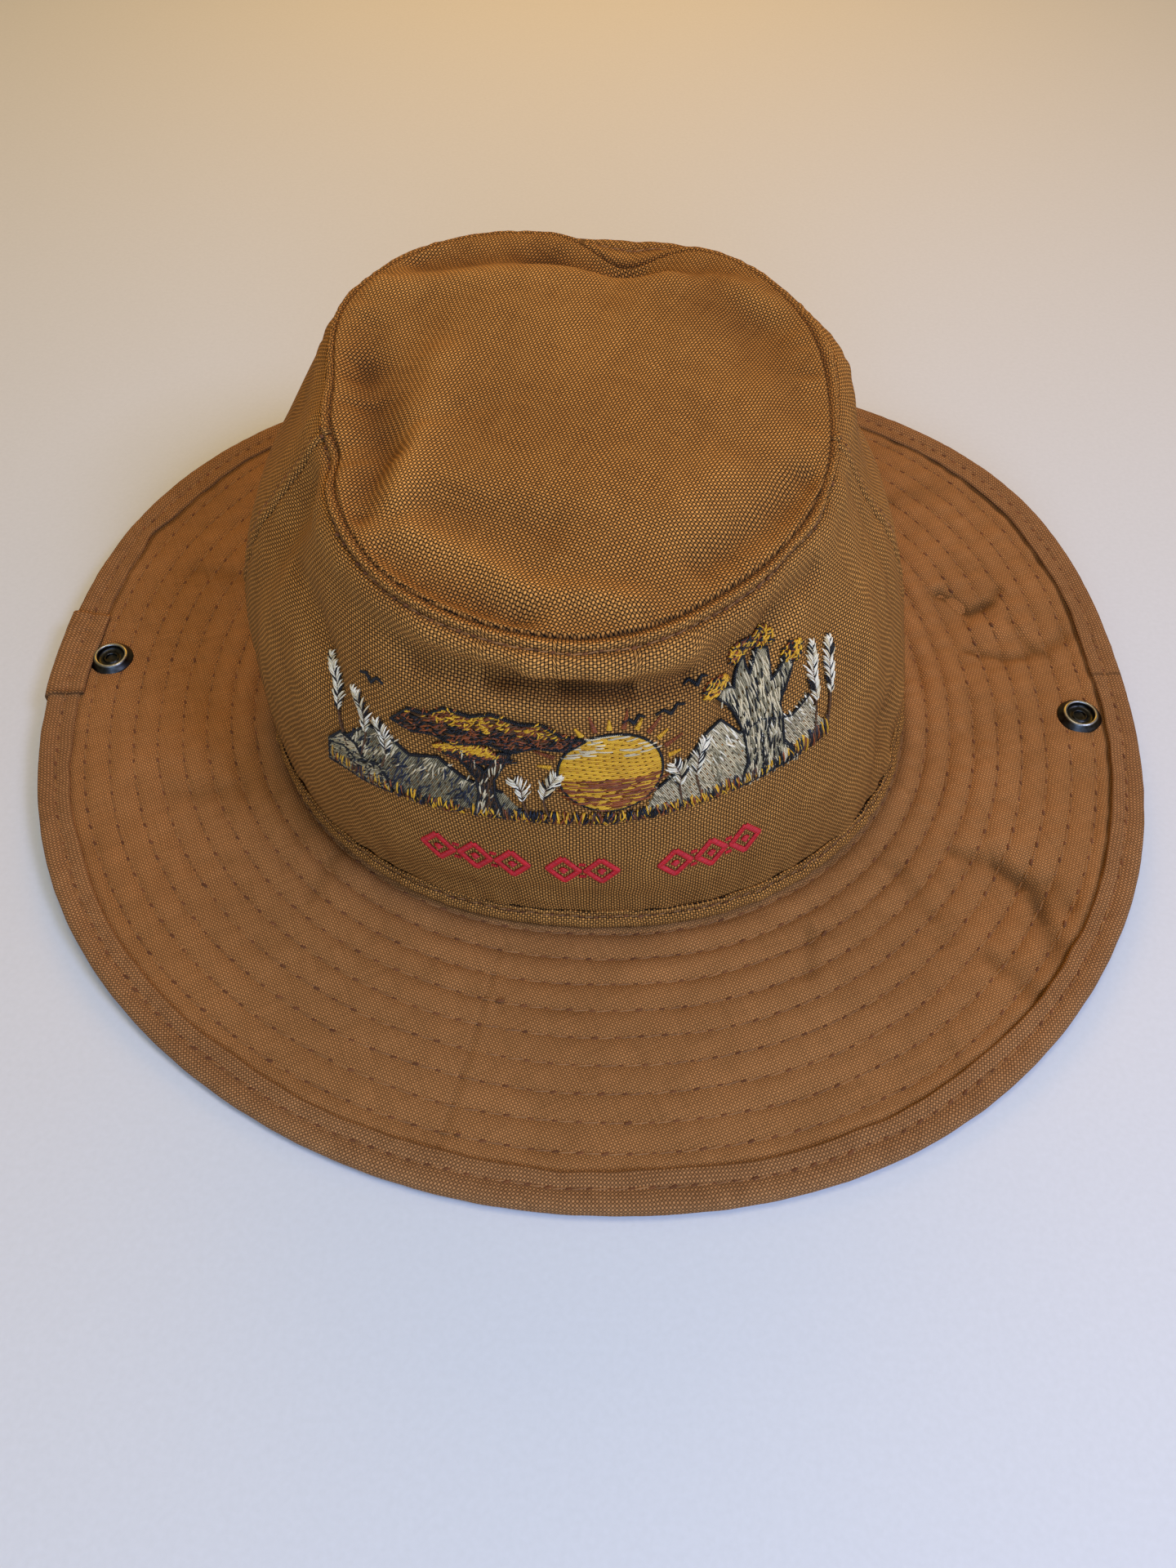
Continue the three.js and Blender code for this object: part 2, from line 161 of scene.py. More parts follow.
# Sharp creases of the side: each runs from one place to the next one in its line.
SIDE_CREASES = table(
    "angle share end_angle end_share wide out",
    [245, 0.856, 257, 0.868, 3.4, -1.6],
    [257, 0.868, 268, 0.872, 2.6, -3.4],
    [268, 0.872, 278.5, 0.858, 2.3, -4.8],
    [278.5, 0.858, 288, 0.85, 3.2, -2.8],
    [288, 0.85, 296, 0.872, 4.5, -1.2],
    [246, 0.945, 264, 0.957, 2.8, 0.8],
    [264, 0.93, 288, 0.915, 4.6, 1.5],
    [252, 0.838, 274, 0.842, 5.0, 0.9],
    [319, 0.905, 307, 0.88, 3.4, -1.3],
    [307, 0.88, 301, 0.82, 3.4, -1.9],
    [301, 0.82, 295, 0.745, 3.8, -1.7],
    [295, 0.745, 292, 0.67, 4.2, -0.9],
    [313, 0.85, 305, 0.75, 3.5, 0.8],
    [334, 0.38, 327, 0.2, 3.6, -1.2],
    [327, 0.2, 325, 0.06, 3.2, -0.9],
    [339, 0.3, 334, 0.1, 3.4, 0.9],
    [318, 0.25, 317, 0.08, 4.0, 0.6],
    [211, 0.8, 221, 0.785, 3.4, -1.0],
    [221, 0.785, 227, 0.74, 3.2, -1.1],
    [227, 0.74, 231, 0.665, 3.8, -0.6],
    [214, 0.7, 218, 0.42, 5.5, -0.8],
    [205, 0.62, 207, 0.3, 5.0, 0.6],
    [339, 0.94, 332, 0.79, 3.6, 0.6],
    [332, 0.79, 326, 0.62, 4.0, 0.7],
    [326, 0.62, 318, 0.445, 4.4, 0.5],
    [345, 0.9, 341, 0.6, 3.0, -0.7],
    [341, 0.6, 338, 0.42, 3.6, -0.5],
    [236, 0.13, 262, 0.17, 3.6, -0.5],
    [262, 0.17, 285, 0.14, 3.6, -0.6],
    [120, 0.8, 132, 0.62, 4.0, -1.0],
    [70, 0.6, 58, 0.42, 4.5, -1.0],
    [100, 0.35, 84, 0.3, 5.0, -0.8],
    [168, 0.4, 160, 0.2, 4.5, -0.9],
    [24, 0.35, 30, 0.15, 4.0, -0.9],
)

# Creases of the tip, from its centre in millimetres.
TIP_CREASES = table(
    "x y end_x end_y wide rise",
    [-52, 22, -50, 8, 5.0, -1.6],
    [-52, 8, -48, -6, 5.4, -1.9],
    [-48, -6, -44, -24, 5.4, -2.7],
    [-44, -24, -48, -43, 4.0, -2.7],
    [-33, 8, -35, -18, 6.5, 1.6],
    [-35, -18, -38, -40, 4.5, 2.0],
    [-58, -20, -56, -36, 4.0, 1.8],
    [-35, -49, -21, -57, 4.4, 2.2],
    [-21, -57, -9, -66, 4.0, 2.4],
    [-9, -66, 12, -68, 3.6, 1.8],
    [-40, -57, -28, -66, 4.4, -2.2],
    [-28, -66, -12, -72, 3.8, -2.2],
    [-30, -42, -6, -50, 6.0, -1.4],
    [-50, 40, 24, 44, 6.0, 1.6],
    [-41, 54, -8, 62, 7.0, -2.4],
    [-8, 58, 14, 60, 7.0, -2.4],
    [14, 60, 36, 54, 7.0, -2.2],
    [12, 58, 15, 48, 4.5, -1.4],
    [36, 50, 50, 38, 5.0, 1.8],
    [36, 40, 46, 30, 8.0, -1.0],
    [46, 30, 52, 12, 8.0, -1.2],
    [52, 12, 54, -4, 6.0, -1.0],
    [54, -26, 43, -43, 3.6, -2.0],
    [43, -43, 28, -57, 3.4, -1.6],
    [34, -30, 22, -46, 6.0, 1.0],
)

# Where the seam of the tip sags inwards and the side stands over it.
SEAM_SAGS = table(
    "angle wide inward down",
    [79.5, 10, 8.5, 4.5],
    [203, 7, 2.5, 1.5],
    [262, 16, 1.5, 0.5],
)

# Creases of the brim.
BRIM_CREASES = table(
    "angle share end_angle end_share wide rise",
    [17.6, 0.37, 13.2, 0.46, 2.0, -1.4],
    [13.2, 0.46, 13.7, 0.56, 2.0, -1.4],
    [13.7, 0.56, 15.4, 0.62, 1.8, -0.8],
    [5.5, 0.38, 3.6, 0.55, 1.9, -0.8],
    [3.6, 0.55, 4.2, 0.7, 1.8, -0.8],
    [4.2, 0.7, 6.5, 0.82, 2.2, -0.5],
    [9.5, 0.45, 8.4, 0.62, 3.6, 0.8],
    [327.5, 0.36, 328.8, 0.5, 2.2, -0.8],
    [328.8, 0.5, 328.2, 0.66, 2.6, -1.2],
    [328.2, 0.66, 325, 0.755, 2.6, -1.2],
    [325, 0.755, 322.6, 0.84, 2.4, -0.8],
    [329.6, 0.71, 328.4, 0.8, 2.2, -0.6],
    [333, 0.5, 332, 0.64, 3.0, 0.5],
    [320, 0.2, 316, 0.5, 3.4, -0.4],
    [205, 0.25, 202, 0.5, 4.0, -0.35],
    [160, 0.3, 162, 0.6, 4.0, -0.35],
    [40, 0.3, 36, 0.7, 3.6, -0.4],
    [75, 0.4, 78, 0.75, 4.0, -0.4],
    [128, 0.35, 124, 0.7, 4.0, -0.4],
    [224, 0.02, 228, 0.26, 2.6, -0.4],
    [317.2, 0.66, 317, 0.86, 2.2, -0.5],
    [303, 0.18, 298.8, 0.34, 1.7, -0.45],
    [9.8, 0.6, 5, 0.66, 1.6, -0.8],
)

# Where the halves of the crown's side meet, at the foot and at the tip, in degrees.
SIDE_SEAMS = {"right": (358, 349), "left": (183, 196)}
BRIM_SEAM = 257.0

# ------------------------------------------------------------------ the surfaces

DEGREE = np.pi / 180


def outline(column, degrees):
    """Smooth closed curve through a column of OUTLINE."""
    place = np.mod(degrees, 360) / 30
    first = np.floor(place).astype(int)
    part = place - first
    a, b, c, d = (OUTLINE[column][(first + i) % 12] for i in (-1, 0, 1, 2))
    bend = 2 * a - 5 * b + 4 * c - d + part * (3 * (b - c) + d - a)
    return b + 0.5 * part * (c - a + part * bend)


def profile(column, share):
    """Smooth curve through a column of PROFILE."""
    knots, values = PROFILE["share"], PROFILE[column]
    ends = np.arange(len(knots))
    after, before = np.minimum(ends + 1, len(knots) - 1), np.maximum(ends - 1, 0)
    slope = (values[after] - values[before]) / (knots[after] - knots[before])
    row = np.clip(np.searchsorted(knots, share, side="right") - 1, 0, len(knots) - 2)
    span = knots[row + 1] - knots[row]
    part = (share - knots[row]) / span
    rise = part * part * (3 - 2 * part)
    leave = part * (1 - part) ** 2 * span * slope[row]
    arrive = -part * part * (1 - part) * span * slope[row + 1]
    return values[row] * (1 - rise) + values[row + 1] * rise + leave + arrive


def bell(offset):
    """1 in the middle, falling off smoothly; about a third at an offset of 1."""
    return np.exp(-np.square(offset))


def step(start, end, value):
    """0 before start and 1 after end, with a smooth rise between them."""
    part = np.clip((value - start) / (end - start), 0, 1)
    return part * part * (3 - 2 * part)


def turn_between(a, b):
    """The short way from angle b to angle a, in degrees."""
    return np.mod(a - b + 540, 360) - 180


def arc(a, b, radius):
    """The same as a length, in millimetres."""
    return turn_between(a, b) * DEGREE * radius


def around(degrees, radius, z):
    """Points round the hat's upright axis."""
    return np.stack(np.broadcast_arrays(
        radius * np.cos(degrees * DEGREE), radius * np.sin(degrees * DEGREE), z), -1)


def seam_point(degrees):
    """The seam between the side and the tip."""
    radius, height = outline("seam", degrees), outline("seam_height", degrees)
    for angle, wide, inward, down in rows_of(SEAM_SAGS):
        sag = bell(turn_between(degrees, angle) / wide)
        radius, height = radius - inward * sag, height - down * sag
    return around(degrees, radius, height) + LEAN


def stand_over(degrees, share):
    """How far the side stands up past a sagging seam."""
    near = bell((share - 0.957) / 0.028)
    return sum(down * bell(turn_between(degrees, angle) / wide) * near
               for angle, wide, _, down in rows_of(SEAM_SAGS))


def side_point(degrees, share):
    """Outside of the crown's side: share 0 is the foot and 1 the seam of the tip."""
    foot = around(degrees, outline("foot", degrees), FOOT_HEIGHT + BRIM_HALF)
    out = around(degrees, 1, 0)
    x, y = out[..., 0], out[..., 1]
    weights = {"right": x, "back": y, "left": -x, "front": -y}
    bulge = sum(np.maximum(w, 0) ** 2 * profile(name, share) for name, w in weights.items())
    for angle, middle, wide, tall, drift, far in rows_of(SIDE_FOLDS):
        offset = turn_between(degrees, angle + drift * (share - middle))
        near = bell((share - middle) / tall) * step(1, 0.985, share)
        bulge = bulge + far * bell(offset / wide) * near
    over = stand_over(degrees, share)
    point = foot + (seam_point(degrees) - foot) * share[..., None]
    point = point + out * (bulge + 1.1 * over)[..., None]
    point[..., 2] += 1.15 * over
    return point


def tip_point(degrees, share):
    """Top of the tip: share 0 is its centre and 1 its seam."""
    seam = seam_point(degrees)
    point = LEAN + (seam - LEAN) * share[..., None]
    height = TIP_LEVEL + (seam[..., 2] - TIP_LEVEL) * share ** 2
    fade = 1 - share ** 8
    x, y = point[..., 0] - LEAN[0], point[..., 1] - LEAN[1]
    for at_x, at_y, along, across, turn, rise in rows_of(TIP_FOLDS):
        cos, sin = np.cos(turn * DEGREE), np.sin(turn * DEGREE)
        u, v = (x - at_x) * cos + (y - at_y) * sin, (y - at_y) * cos - (x - at_x) * sin
        height = height + fade * rise * bell(u / along) * bell(v / across)
    point[..., 2] = height
    return point


def brim_point(degrees, share):
    """Middle of the brim's thickness: share 0 is the foot of the crown and 1 the rim."""
    foot = around(degrees, outline("foot", degrees), FOOT_HEIGHT)
    rim = around(degrees, outline("rim", degrees),
                 np.maximum(0, outline("lift", degrees)) + RIM_HALF)
    point = foot + (rim - foot) * share[..., None]
    for angle, middle, wide, deep, rise in rows_of(BRIM_FOLDS):
        offset = turn_between(degrees, angle) / wide
        point[..., 2] += rise * bell(offset) * bell((share - middle) / deep)
    return point


def normal_of(surface, degrees, share):
    """The way out of the hat, square to a surface; upwards for the brim and the tip."""
    along = surface(degrees + 0.5, share) - surface(degrees - 0.5, share)
    across = surface(degrees, share + 0.004) - surface(degrees, share - 0.004)
    normal = np.cross(along, across)
    normal /= np.linalg.norm(normal, axis=-1, keepdims=True) + 1e-9
    return normal if surface is side_point else -normal


# ------------------------------------------------------------------ folds, puckers and seams


def waves(point, size, seed, flat=1.0):
    """Uneven soft waves from about -1 to 1; size is their usual length."""
    pick = np.random.default_rng(seed)
    total = 0
    for _ in range(9):
        way = pick.normal(size=3) * [1, 1, flat]
        way *= 2 * np.pi / (size * pick.uniform(0.7, 1.5) * np.linalg.norm(way))
        total = total + np.sin(point @ way + pick.uniform(0, 6.3))
    return total / 4.2


def gathers(degrees, count, seed):
    """Uneven puckers along a ring, about count of them."""
    pick = np.random.default_rng(seed)
    counts = np.round(count * np.array([0.62, 0.81, 1, 1.23, 1.47])).astype(int)
    return sum(np.sin(n * degrees * DEGREE + pick.uniform(0, 6.3)) for n in counts) / 2.4


def creases(lines, x, y, width_of, tall):
    """Narrow folds: each row of lines is straight on the cloth laid flat, with soft ends. Rows
    that follow on from each other make one fold, as deep as the deeper of them. width_of gives
    the millimetres between two places in x, and tall those of one unit of y."""
    total, fold, end = 0, 0, None
    for start_x, start_y, end_x, end_y, wide, out in rows_of(lines):
        u, v = width_of(x, start_x), (y - start_y) * tall
        run_u, run_v = width_of(end_x, start_x), (end_y - start_y) * tall
        part = np.clip((u * run_u + v * run_v) / (run_u ** 2 + run_v ** 2), 0, 1)
        gap = np.hypot(u - part * run_u, v - part * run_v)
        rise = out * bell(gap / wide)
        if (start_x, start_y) == end:
            fold = np.where(np.abs(rise) > np.abs(fold), rise, fold)
        else:
            total, fold = total + fold, rise
        end = (end_x, end_y)
    return total + fold


def side_seam_offset(name, degrees, share):
    """Millimetres along the cloth from a side seam, positive towards the back half."""
    foot, tip = SIDE_SEAMS[name]
    towards = 1 if name == "right" else -1
    return towards * arc(degrees, foot + (tip - foot) * share, SIDE_RADIUS)


def side_relief(degrees, share):
    """How far the side's cloth stands out of its surface, in millimetres."""
    base = side_point(degrees, share)
    below, above = (1 - share) * SIDE_HEIGHT, share * SIDE_HEIGHT
    relief = creases(SIDE_CREASES, degrees, share, lambda a, b: arc(a, b, SIDE_RADIUS), SIDE_HEIGHT)
    relief = relief + 0.34 * waves(base, 34, 3, 0.5) + 0.12 * waves(base, 13, 4, 0.5)
    # The seam allowance turned down inside makes a roll, held by the topstitching.
    held = 1 - 0.17 * stand_over(degrees, 0.957)
    relief += 0.7 * held * bell((below - 1.2) / 0.8) - 1.5 * bell(below / 0.45)
    relief -= (0.95 + 0.2 * gathers(degrees, 120, 7)) * held * bell((below - TOPSTITCH) / 0.5)
    relief += (0.6 + 0.18 * gathers(degrees, 56, 8)) * bell((below - 6.2) / 2.8)
    relief += 0.10 * gathers(degrees, 88, 9) * bell((below - 1.5) / 1.6)
    # Puckers where the cloth is eased into the strip at the foot.
    relief += (0.22 * gathers(degrees, 64, 10) - 0.2) * bell((above - 9) / 5)
    relief -= 0.6 * bell((above - 4.6) / 1.8)
    for name in SIDE_SEAMS:
        offset = side_seam_offset(name, degrees, share)
        relief += -0.6 * bell(offset / 0.75) + 0.35 * bell((offset - 2.2) / 2.0)
        relief += 0.2 * np.sin(above * 0.9) * bell(offset / 4) * step(12, 24, below)
        relief -= 0.3 * bell((offset - SEAM_STITCH) / 0.6)
    return relief


def tip_relief(degrees, share):
    """The same for the tip."""
    base = tip_point(degrees, share)
    x, y = base[..., 0] - LEAN[0], base[..., 1] - LEAN[1]
    inward = (1 - share) * outline("seam", degrees)
    relief = creases(TIP_CREASES, x, y, lambda a, b: a - b, 1)
    relief = relief + 0.5 * waves(base, 42, 21) + 0.14 * waves(base, 16, 22)
    relief += (0.2 + 0.24 * gathers(degrees, 46, 23)) * bell((inward - 4.5) / 3.2)
    relief *= step(0, 4.0, inward)
    return relief - 1.3 * bell(inward / 0.55)


# Painted shade is on the scale of the relief: the deeper below 0, the darker the cloth.


def seam_painted_shade(degrees, share):
    """Painted shade on the side, along the tip's seam and its topstitching."""
    aside = (1 - share) * SIDE_HEIGHT
    return -3.8 * bell(aside / 0.55) - 2.4 * bell((aside - TOPSTITCH) / 0.35)


def with_painted_shade(relief, painted_shade):
    """Relief and painted shade together, where neither makes the other darker than a seam."""
    return np.maximum(relief + painted_shade, np.minimum(relief, -4.3))


def tip_painted_shade(degrees, share):
    """Painted shade on the tip, along its seam."""
    return -3.8 * bell((1 - share) * outline("seam", degrees) / 0.6)


def brim_painted_shade(degrees, share):
    """Painted shade in the creases and along the inner edge of the tape, where it is strong at the
    sides.
    """
    right, left = bell(turn_between(degrees, 8) / 55), bell(turn_between(degrees, 158) / 34)
    line = (0.8 + 3.9 * right + 2.6 * left) * bell(inside_tape(degrees, share) / 0.6)
    return 2.1 * np.minimum(brim_creases(degrees, share), 0) - line


def inside_tape(degrees, share):
    """Millimetres from the line just inside the tape's edge, positive towards the rim."""
    return (share - tape_edge(degrees) + 0.006) * BRIM_WIDTH


def brim_creases(degrees, share):
    return creases(BRIM_CREASES, degrees, share, lambda a, b: arc(a, b, BRIM_RADIUS), BRIM_WIDTH)


def brim_relief(degrees, share, quilt=1.0):
    """Relief of the brim's upper cloth. The lower one has the same creases, but bulges the
    other way between the rows of quilting, so its quilt is below 0."""
    base = brim_point(degrees, share)
    row = (share - ROW_FIRST) / ROW_SPACING
    nearest = np.clip(np.round(row), 0, ROW_COUNT - 1)
    off_row = np.abs(row - nearest) * ROW_SPACING * BRIM_WIDTH
    quilted = step(-0.6, 0.2, row) * step(ROW_COUNT - 0.1, ROW_COUNT - 0.8, row)
    rightness = bell(turn_between(degrees, 12) / 62)
    inner = step(0.5, 0.05, share)
    pull = 0.8 + 0.35 * waves(base, 24, 31) + 0.5 * rightness + 0.9 * inner
    relief = 0.32 * np.sin(np.pi * np.clip(row, -0.5, ROW_COUNT - 0.5)) ** 2 * quilted * pull
    relief -= 0.26 * bell(off_row / 0.7) * pull
    # Puckers cross from one row to the next, most of them at the right.
    for k in range(ROW_COUNT):
        between = bell((row - k - 0.5) / 0.34)
        relief += (0.06 + 0.17 * rightness) * gathers(degrees, 105 - 3 * k, 40 + k) * between
    relief += (0.16 + 0.22 * rightness) * waves(base, 26, 32) + 0.09 * waves(base, 9, 33)
    folded = brim_creases(degrees, share)
    seam = arc(degrees, BRIM_SEAM, FOOT_RADIUS + share * BRIM_WIDTH)
    relief += (-0.55 * bell(seam / 0.5) + 0.2 * bell((seam - 1.8) / 1.6)) * step(0.02, 0.3, share)
    for snap in SNAPS.values():
        gap = np.hypot(arc(degrees, snap, SNAP_RADIUS), (share - SNAP_SHARE) * BRIM_WIDTH)
        relief = relief * (1 - bell(gap / 8)) - 0.3 * bell(gap / 6)
        folded = folded * (1 - bell(gap / 8))
    # Flat under the tape, which pulls the cloth in along its edge, most of all at the right.
    fade = step(0.93, 0.86, share)
    tuck = 0.08 + 0.47 * bell(turn_between(degrees, 5) / 50)
    relief = relief * fade - tuck * bell(inside_tape(degrees, share) / 0.8)
    return quilt * relief + folded * fade


def under_relief(degrees, share):
    return brim_relief(degrees, share, -0.6)


# ------------------------------------------------------------------ meshes

# The tables' own middle and the frame's, both taken from the rim's corners in the CAD part.
RIM_CORNERS = 54
rim_line = brim_point(np.arange(RIM_CORNERS) * 360 / RIM_CORNERS, np.ones(RIM_CORNERS))
table_middle = np.append((rim_line.min(0) + rim_line.max(0))[:2] / 2, 0)
low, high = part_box("rim_binding")
frame_middle = np.append((np.array(low) + np.array(high))[:2] / 2, 0)


def placed(points):
    """Millimetres of the tables to metres of the frame."""
    return (points - table_middle) / 1000 + frame_middle


def new_object(name, data):
    """An object in the scene."""
    made = bpy.data.objects.new(name, data)
    bpy.context.scene.collection.objects.link(made)
    return made


def set_attribute(mesh, name, values):
    """Numbers or vectors of the mesh's points, for a material or for geometry nodes."""
    kind, key = ("FLOAT", "value") if values.ndim == 1 else ("FLOAT_VECTOR", "vector")
    layer = mesh.attributes.new(name, kind, "POINT")
    layer.data.foreach_set(key, values.astype(np.float32).ravel())


def mesh_object(name, points, faces, cloth=None, relief=None):
    """A mesh piece; cloth is where each point is on the flat cloth, in millimetres."""
    mesh = bpy.data.meshes.new(name)
    mesh.from_pydata(placed(points.reshape(-1, 3)).tolist(), [], faces)
    if cloth is not None:
        corners = np.zeros(len(mesh.loops), np.int32)
        mesh.loops.foreach_get("vertex_index", corners)
        layer = mesh.uv_layers.new(name="cloth")
        layer.data.foreach_set("uv", cloth.reshape(-1, 2)[corners].astype(np.float32).ravel())
    if relief is not None:
        set_attribute(mesh, "relief", relief.ravel())
    mesh.polygons.foreach_set("use_smooth", [True] * len(mesh.polygons))
    mesh.update()
    return new_object(name, mesh)


def loft(name, points, cloth, relief, lining_rows, is_ring):
    """One closed body from closed sections: points[angle, place on the section]. The last
    lining_rows places run back along the lining."""
    count, size = points.shape[:2]
    face_rows = size - lining_rows
    faces = []
    for i in range(count if is_ring else count - 1):
        here, there = i * size, (i + 1) % count * size
        faces += [(here + j, there + j, there + (j + 1) % size, here + (j + 1) % size)
                  for j in range(size)]
    if not is_ring:
        every = (face_rows - 1) // (lining_rows - 1)
        for start, turned in ((0, False), ((count - 1) * size, True)):
            for k in range(lining_rows - 1):
                inner, next_inner = start + size - 1 - k, start + size - 2 - k
                last = face_rows if k == lining_rows - 2 else (k + 1) * every + 1
                strip = [start + m for m in range(k * every, last)]
                cap = strip + [next_inner, inner]
                faces.append(tuple(reversed(cap)) if turned else tuple(cap))
    return mesh_object(name, points, faces, cloth, relief)


def shell(name, surface, relief_of, degrees, rows, lining_every, thickness, cloth_of, is_ring,
          painted_shade_of=None):
    """A cloth on a surface: its face follows the relief and its lining is a thickness away."""
    angle = np.repeat(degrees[..., None], rows.shape[-1], -1) if degrees.ndim == 1 else degrees
    share = np.broadcast_to(rows, angle.shape)
    relief = relief_of(angle, share)
    normal = normal_of(surface, angle, share)
    base = surface(angle, share) + thickness[0] * normal
    face = base + relief[..., None] * normal
    lining = face + (thickness[1] - thickness[0]) * normal
    # The tone is the relief, with painted shade added where a function for it is given.
    tone = relief if painted_shade_of is None else with_painted_shade(relief, painted_shade_of(angle, share))
    picked = np.arange(0, rows.shape[-1], lining_every)[::-1]
    flat = cloth_of(angle, share, face)
    return loft(name, np.concatenate([face, lining[:, picked]], 1),
                np.concatenate([flat, flat[:, picked]], 1),
                np.concatenate([tone, relief[:, picked]], 1), len(picked), is_ring)


def plan(angle, share, point):
    """Where a point of the brim is on its flat cloth: as seen from above."""
    return point[..., :2].copy()


def on_side(angle, share, point):
    """Where a point of the side is on its flat cloth: round from the front, and up the cloth."""
    climb = np.linalg.norm(np.diff(point, axis=1), axis=2)
    climb = np.concatenate([0 * climb[:, :1], np.cumsum(climb, 1)], 1)
    return np.stack([arc(angle, 270, FOOT_RADIUS - 22 * share), climb], -1)


def side_panel(name, start, end, steps):
    """Half of the side, from one side seam round to the other."""
    upper = np.array([0, 0.2, 0.4, 0.65, 0.95, 1.3, 1.65, 1.95, 2.2, 2.4, 2.6, 2.8, 3, 3.2, 3.5,
                      3.9, 4.5, 5.4, 6.5])
    rows = np.append(np.linspace(0.054, 0.925, 130), 1 - upper[::-1] / SIDE_HEIGHT)
    part = np.linspace(0, 1, steps)[:, None]
    near = start[0] + (start[1] - start[0]) * rows + 0.1
    sweep = np.mod(end[0] + (end[1] - end[0]) * rows - 0.1 - near, 360)
    # The side's tone has painted shade along the tip's seam and its topstitching.
    return shell(name, side_point, side_relief, near + sweep * part, rows, 2,
                 (0, -CANVAS), on_side, False, seam_painted_shade)


def tip_panel():
    """The tip: rings from its seam to its centre, which is closed with a fan."""
    steps = 400
    degrees = np.arange(steps) * 360 / steps
    edge = [0, 0.25, 0.5, 0.75, 1.0, 1.35, 1.8, 2.4, 3.2, 4.2, 5.4, 6.8]
    rows = 1 - np.append(edge, np.linspace(8.3, 67, 42)) / 70
    angle, share = np.meshgrid(degrees, rows, indexing="ij")
    relief = tip_relief(angle, share)
    normal = normal_of(tip_point, angle, share)
    face = tip_point(angle, share) + relief[..., None] * normal
    lining = (face - CANVAS * normal)[:, ::3]
    count, inner = len(rows), lining.shape[1]
    points = np.concatenate([face[:, ::-1], lining], 1)
    size = count + inner
    # Painted shade along the seam darkens the tone.
    tone = with_painted_shade(relief, tip_painted_shade(angle, share))
    heights = np.concatenate([tone[:, ::-1], relief[:, ::3]], 1)
    faces = []
    for i in range(steps):
        here, there = i * size, (i + 1) % steps * size
        faces += [(here + j, here + j + 1, there + j + 1, there + j) for j in range(size - 1)]
        faces.append((here, there, steps * size))
        faces.append((there + size - 1, here + size - 1, steps * size + 1))
    poles = np.stack([points[:, 0].mean(0), points[:, -1].mean(0)])
    points = np.concatenate([points.reshape(-1, 3), poles])
    heights = np.append(heights.ravel(), [heights[:, 0].mean()] * 2)
    grain = 27 * DEGREE
    turned = np.array([[np.cos(grain), np.sin(grain)], [-np.sin(grain), np.cos(grain)]])
    return mesh_object("tip_canvas", points, faces, points[:, :2] @ turned, heights)


def brim_rows():
    """Places across the brim, close together near each line of quilting."""
    spacing = ROW_SPACING * BRIM_WIDTH
    offsets = np.array([-1.3, -0.8, -0.4, 0, 0.4, 0.8, 1.3, 2.2, spacing / 2, spacing - 2.2])
    lines = [(ROW_FIRST + k * ROW_SPACING) + offsets / BRIM_WIDTH for k in range(ROW_COUNT)]
    rows = np.concatenate([[-2 / BRIM_WIDTH], *lines])
    return np.append(rows[rows < 0.842], [*np.arange(0.845, 0.89, 0.0055), 0.91, 0.955])


def strip_share(height):
    """Share of the side's height, for millimetres above the brim."""
    return height / (outline("seam_height", 0.0) - FOOT_HEIGHT - BRIM_HALF)


def strip_puckers(degrees):
    return 0.2 * gathers(degrees, 118, 51) + 0.12 * gathers(degrees, 61, 52)


def crown_strip():
    """Turned strip at the foot of the crown, topstitched along its upper edge."""
    section = table(
        "height out gather",
        [0.1, 0.0, 0], [0.4, 0.7, 0.2], [1.1, 1.4, 0.4], [2.0, 1.9, 0.6], [3.0, 2.1, 0.8],
        [3.9, 1.7, 1], [4.5, 1.1, 1], [4.9, 0.55, 0.8], [5.3, 0.5, 0.8], [5.8, 0.7, 0.9],
        [6.3, 0.6, 0.8], [6.6, 0.2, 0.6], [6.5, -0.3, 0.4], [5.2, -0.5, 0], [3.0, -0.5, 0],
        [0.6, -0.55, 0], [0.2, -0.4, 0],
    )
    degrees = (np.arange(560) * 360 / 560)[:, None]
    height, out, gather = (section[name][None, :] for name in ("height", "out", "gather"))
    share = strip_share(height)
    angle = degrees + 0 * share
    puckers = strip_puckers(degrees)
    point = side_point(angle, share + 0 * angle)
    point = point + around(angle, 1, 0) * (out + gather * puckers)[..., None]
    point[..., 2] += 0.25 * gather * gathers(degrees, 34, 53)
    flat = np.stack([arc(angle, 270, FOOT_RADIUS - 1), height * 1.6 + 0 * angle], -1)
    # Painted shade in the line of stitches and in the corner with the brim.
    strip_shade = -3.8 * bell((height - 5.05) / 0.35) - 2.5 * bell(height / 0.7)
    return loft("foot_strip", point, flat, gather * puckers + strip_shade, 4, True)


def tape_edge(degrees):
    """Share of the brim's width where the tape begins."""
    back = np.maximum(0, around(degrees, 1, 0)[..., 1]) ** 2
    left = bell(turn_between(degrees, 178) / 24)
    kink = bell(turn_between(degrees, 158.5) / 2.2)
    uneven = 0.004 * gathers(degrees, 17, 61) + 0.0015 * gathers(degrees, 60, 62)
    return 0.873 - 0.008 * back - 0.012 * left + 0.02 * kink + uneven


def tape_lap(degrees):
    """Where the tape's end lies on its start, at the left."""
    return step(185.0, 184.8, degrees) * step(172.8, 173.2, degrees)


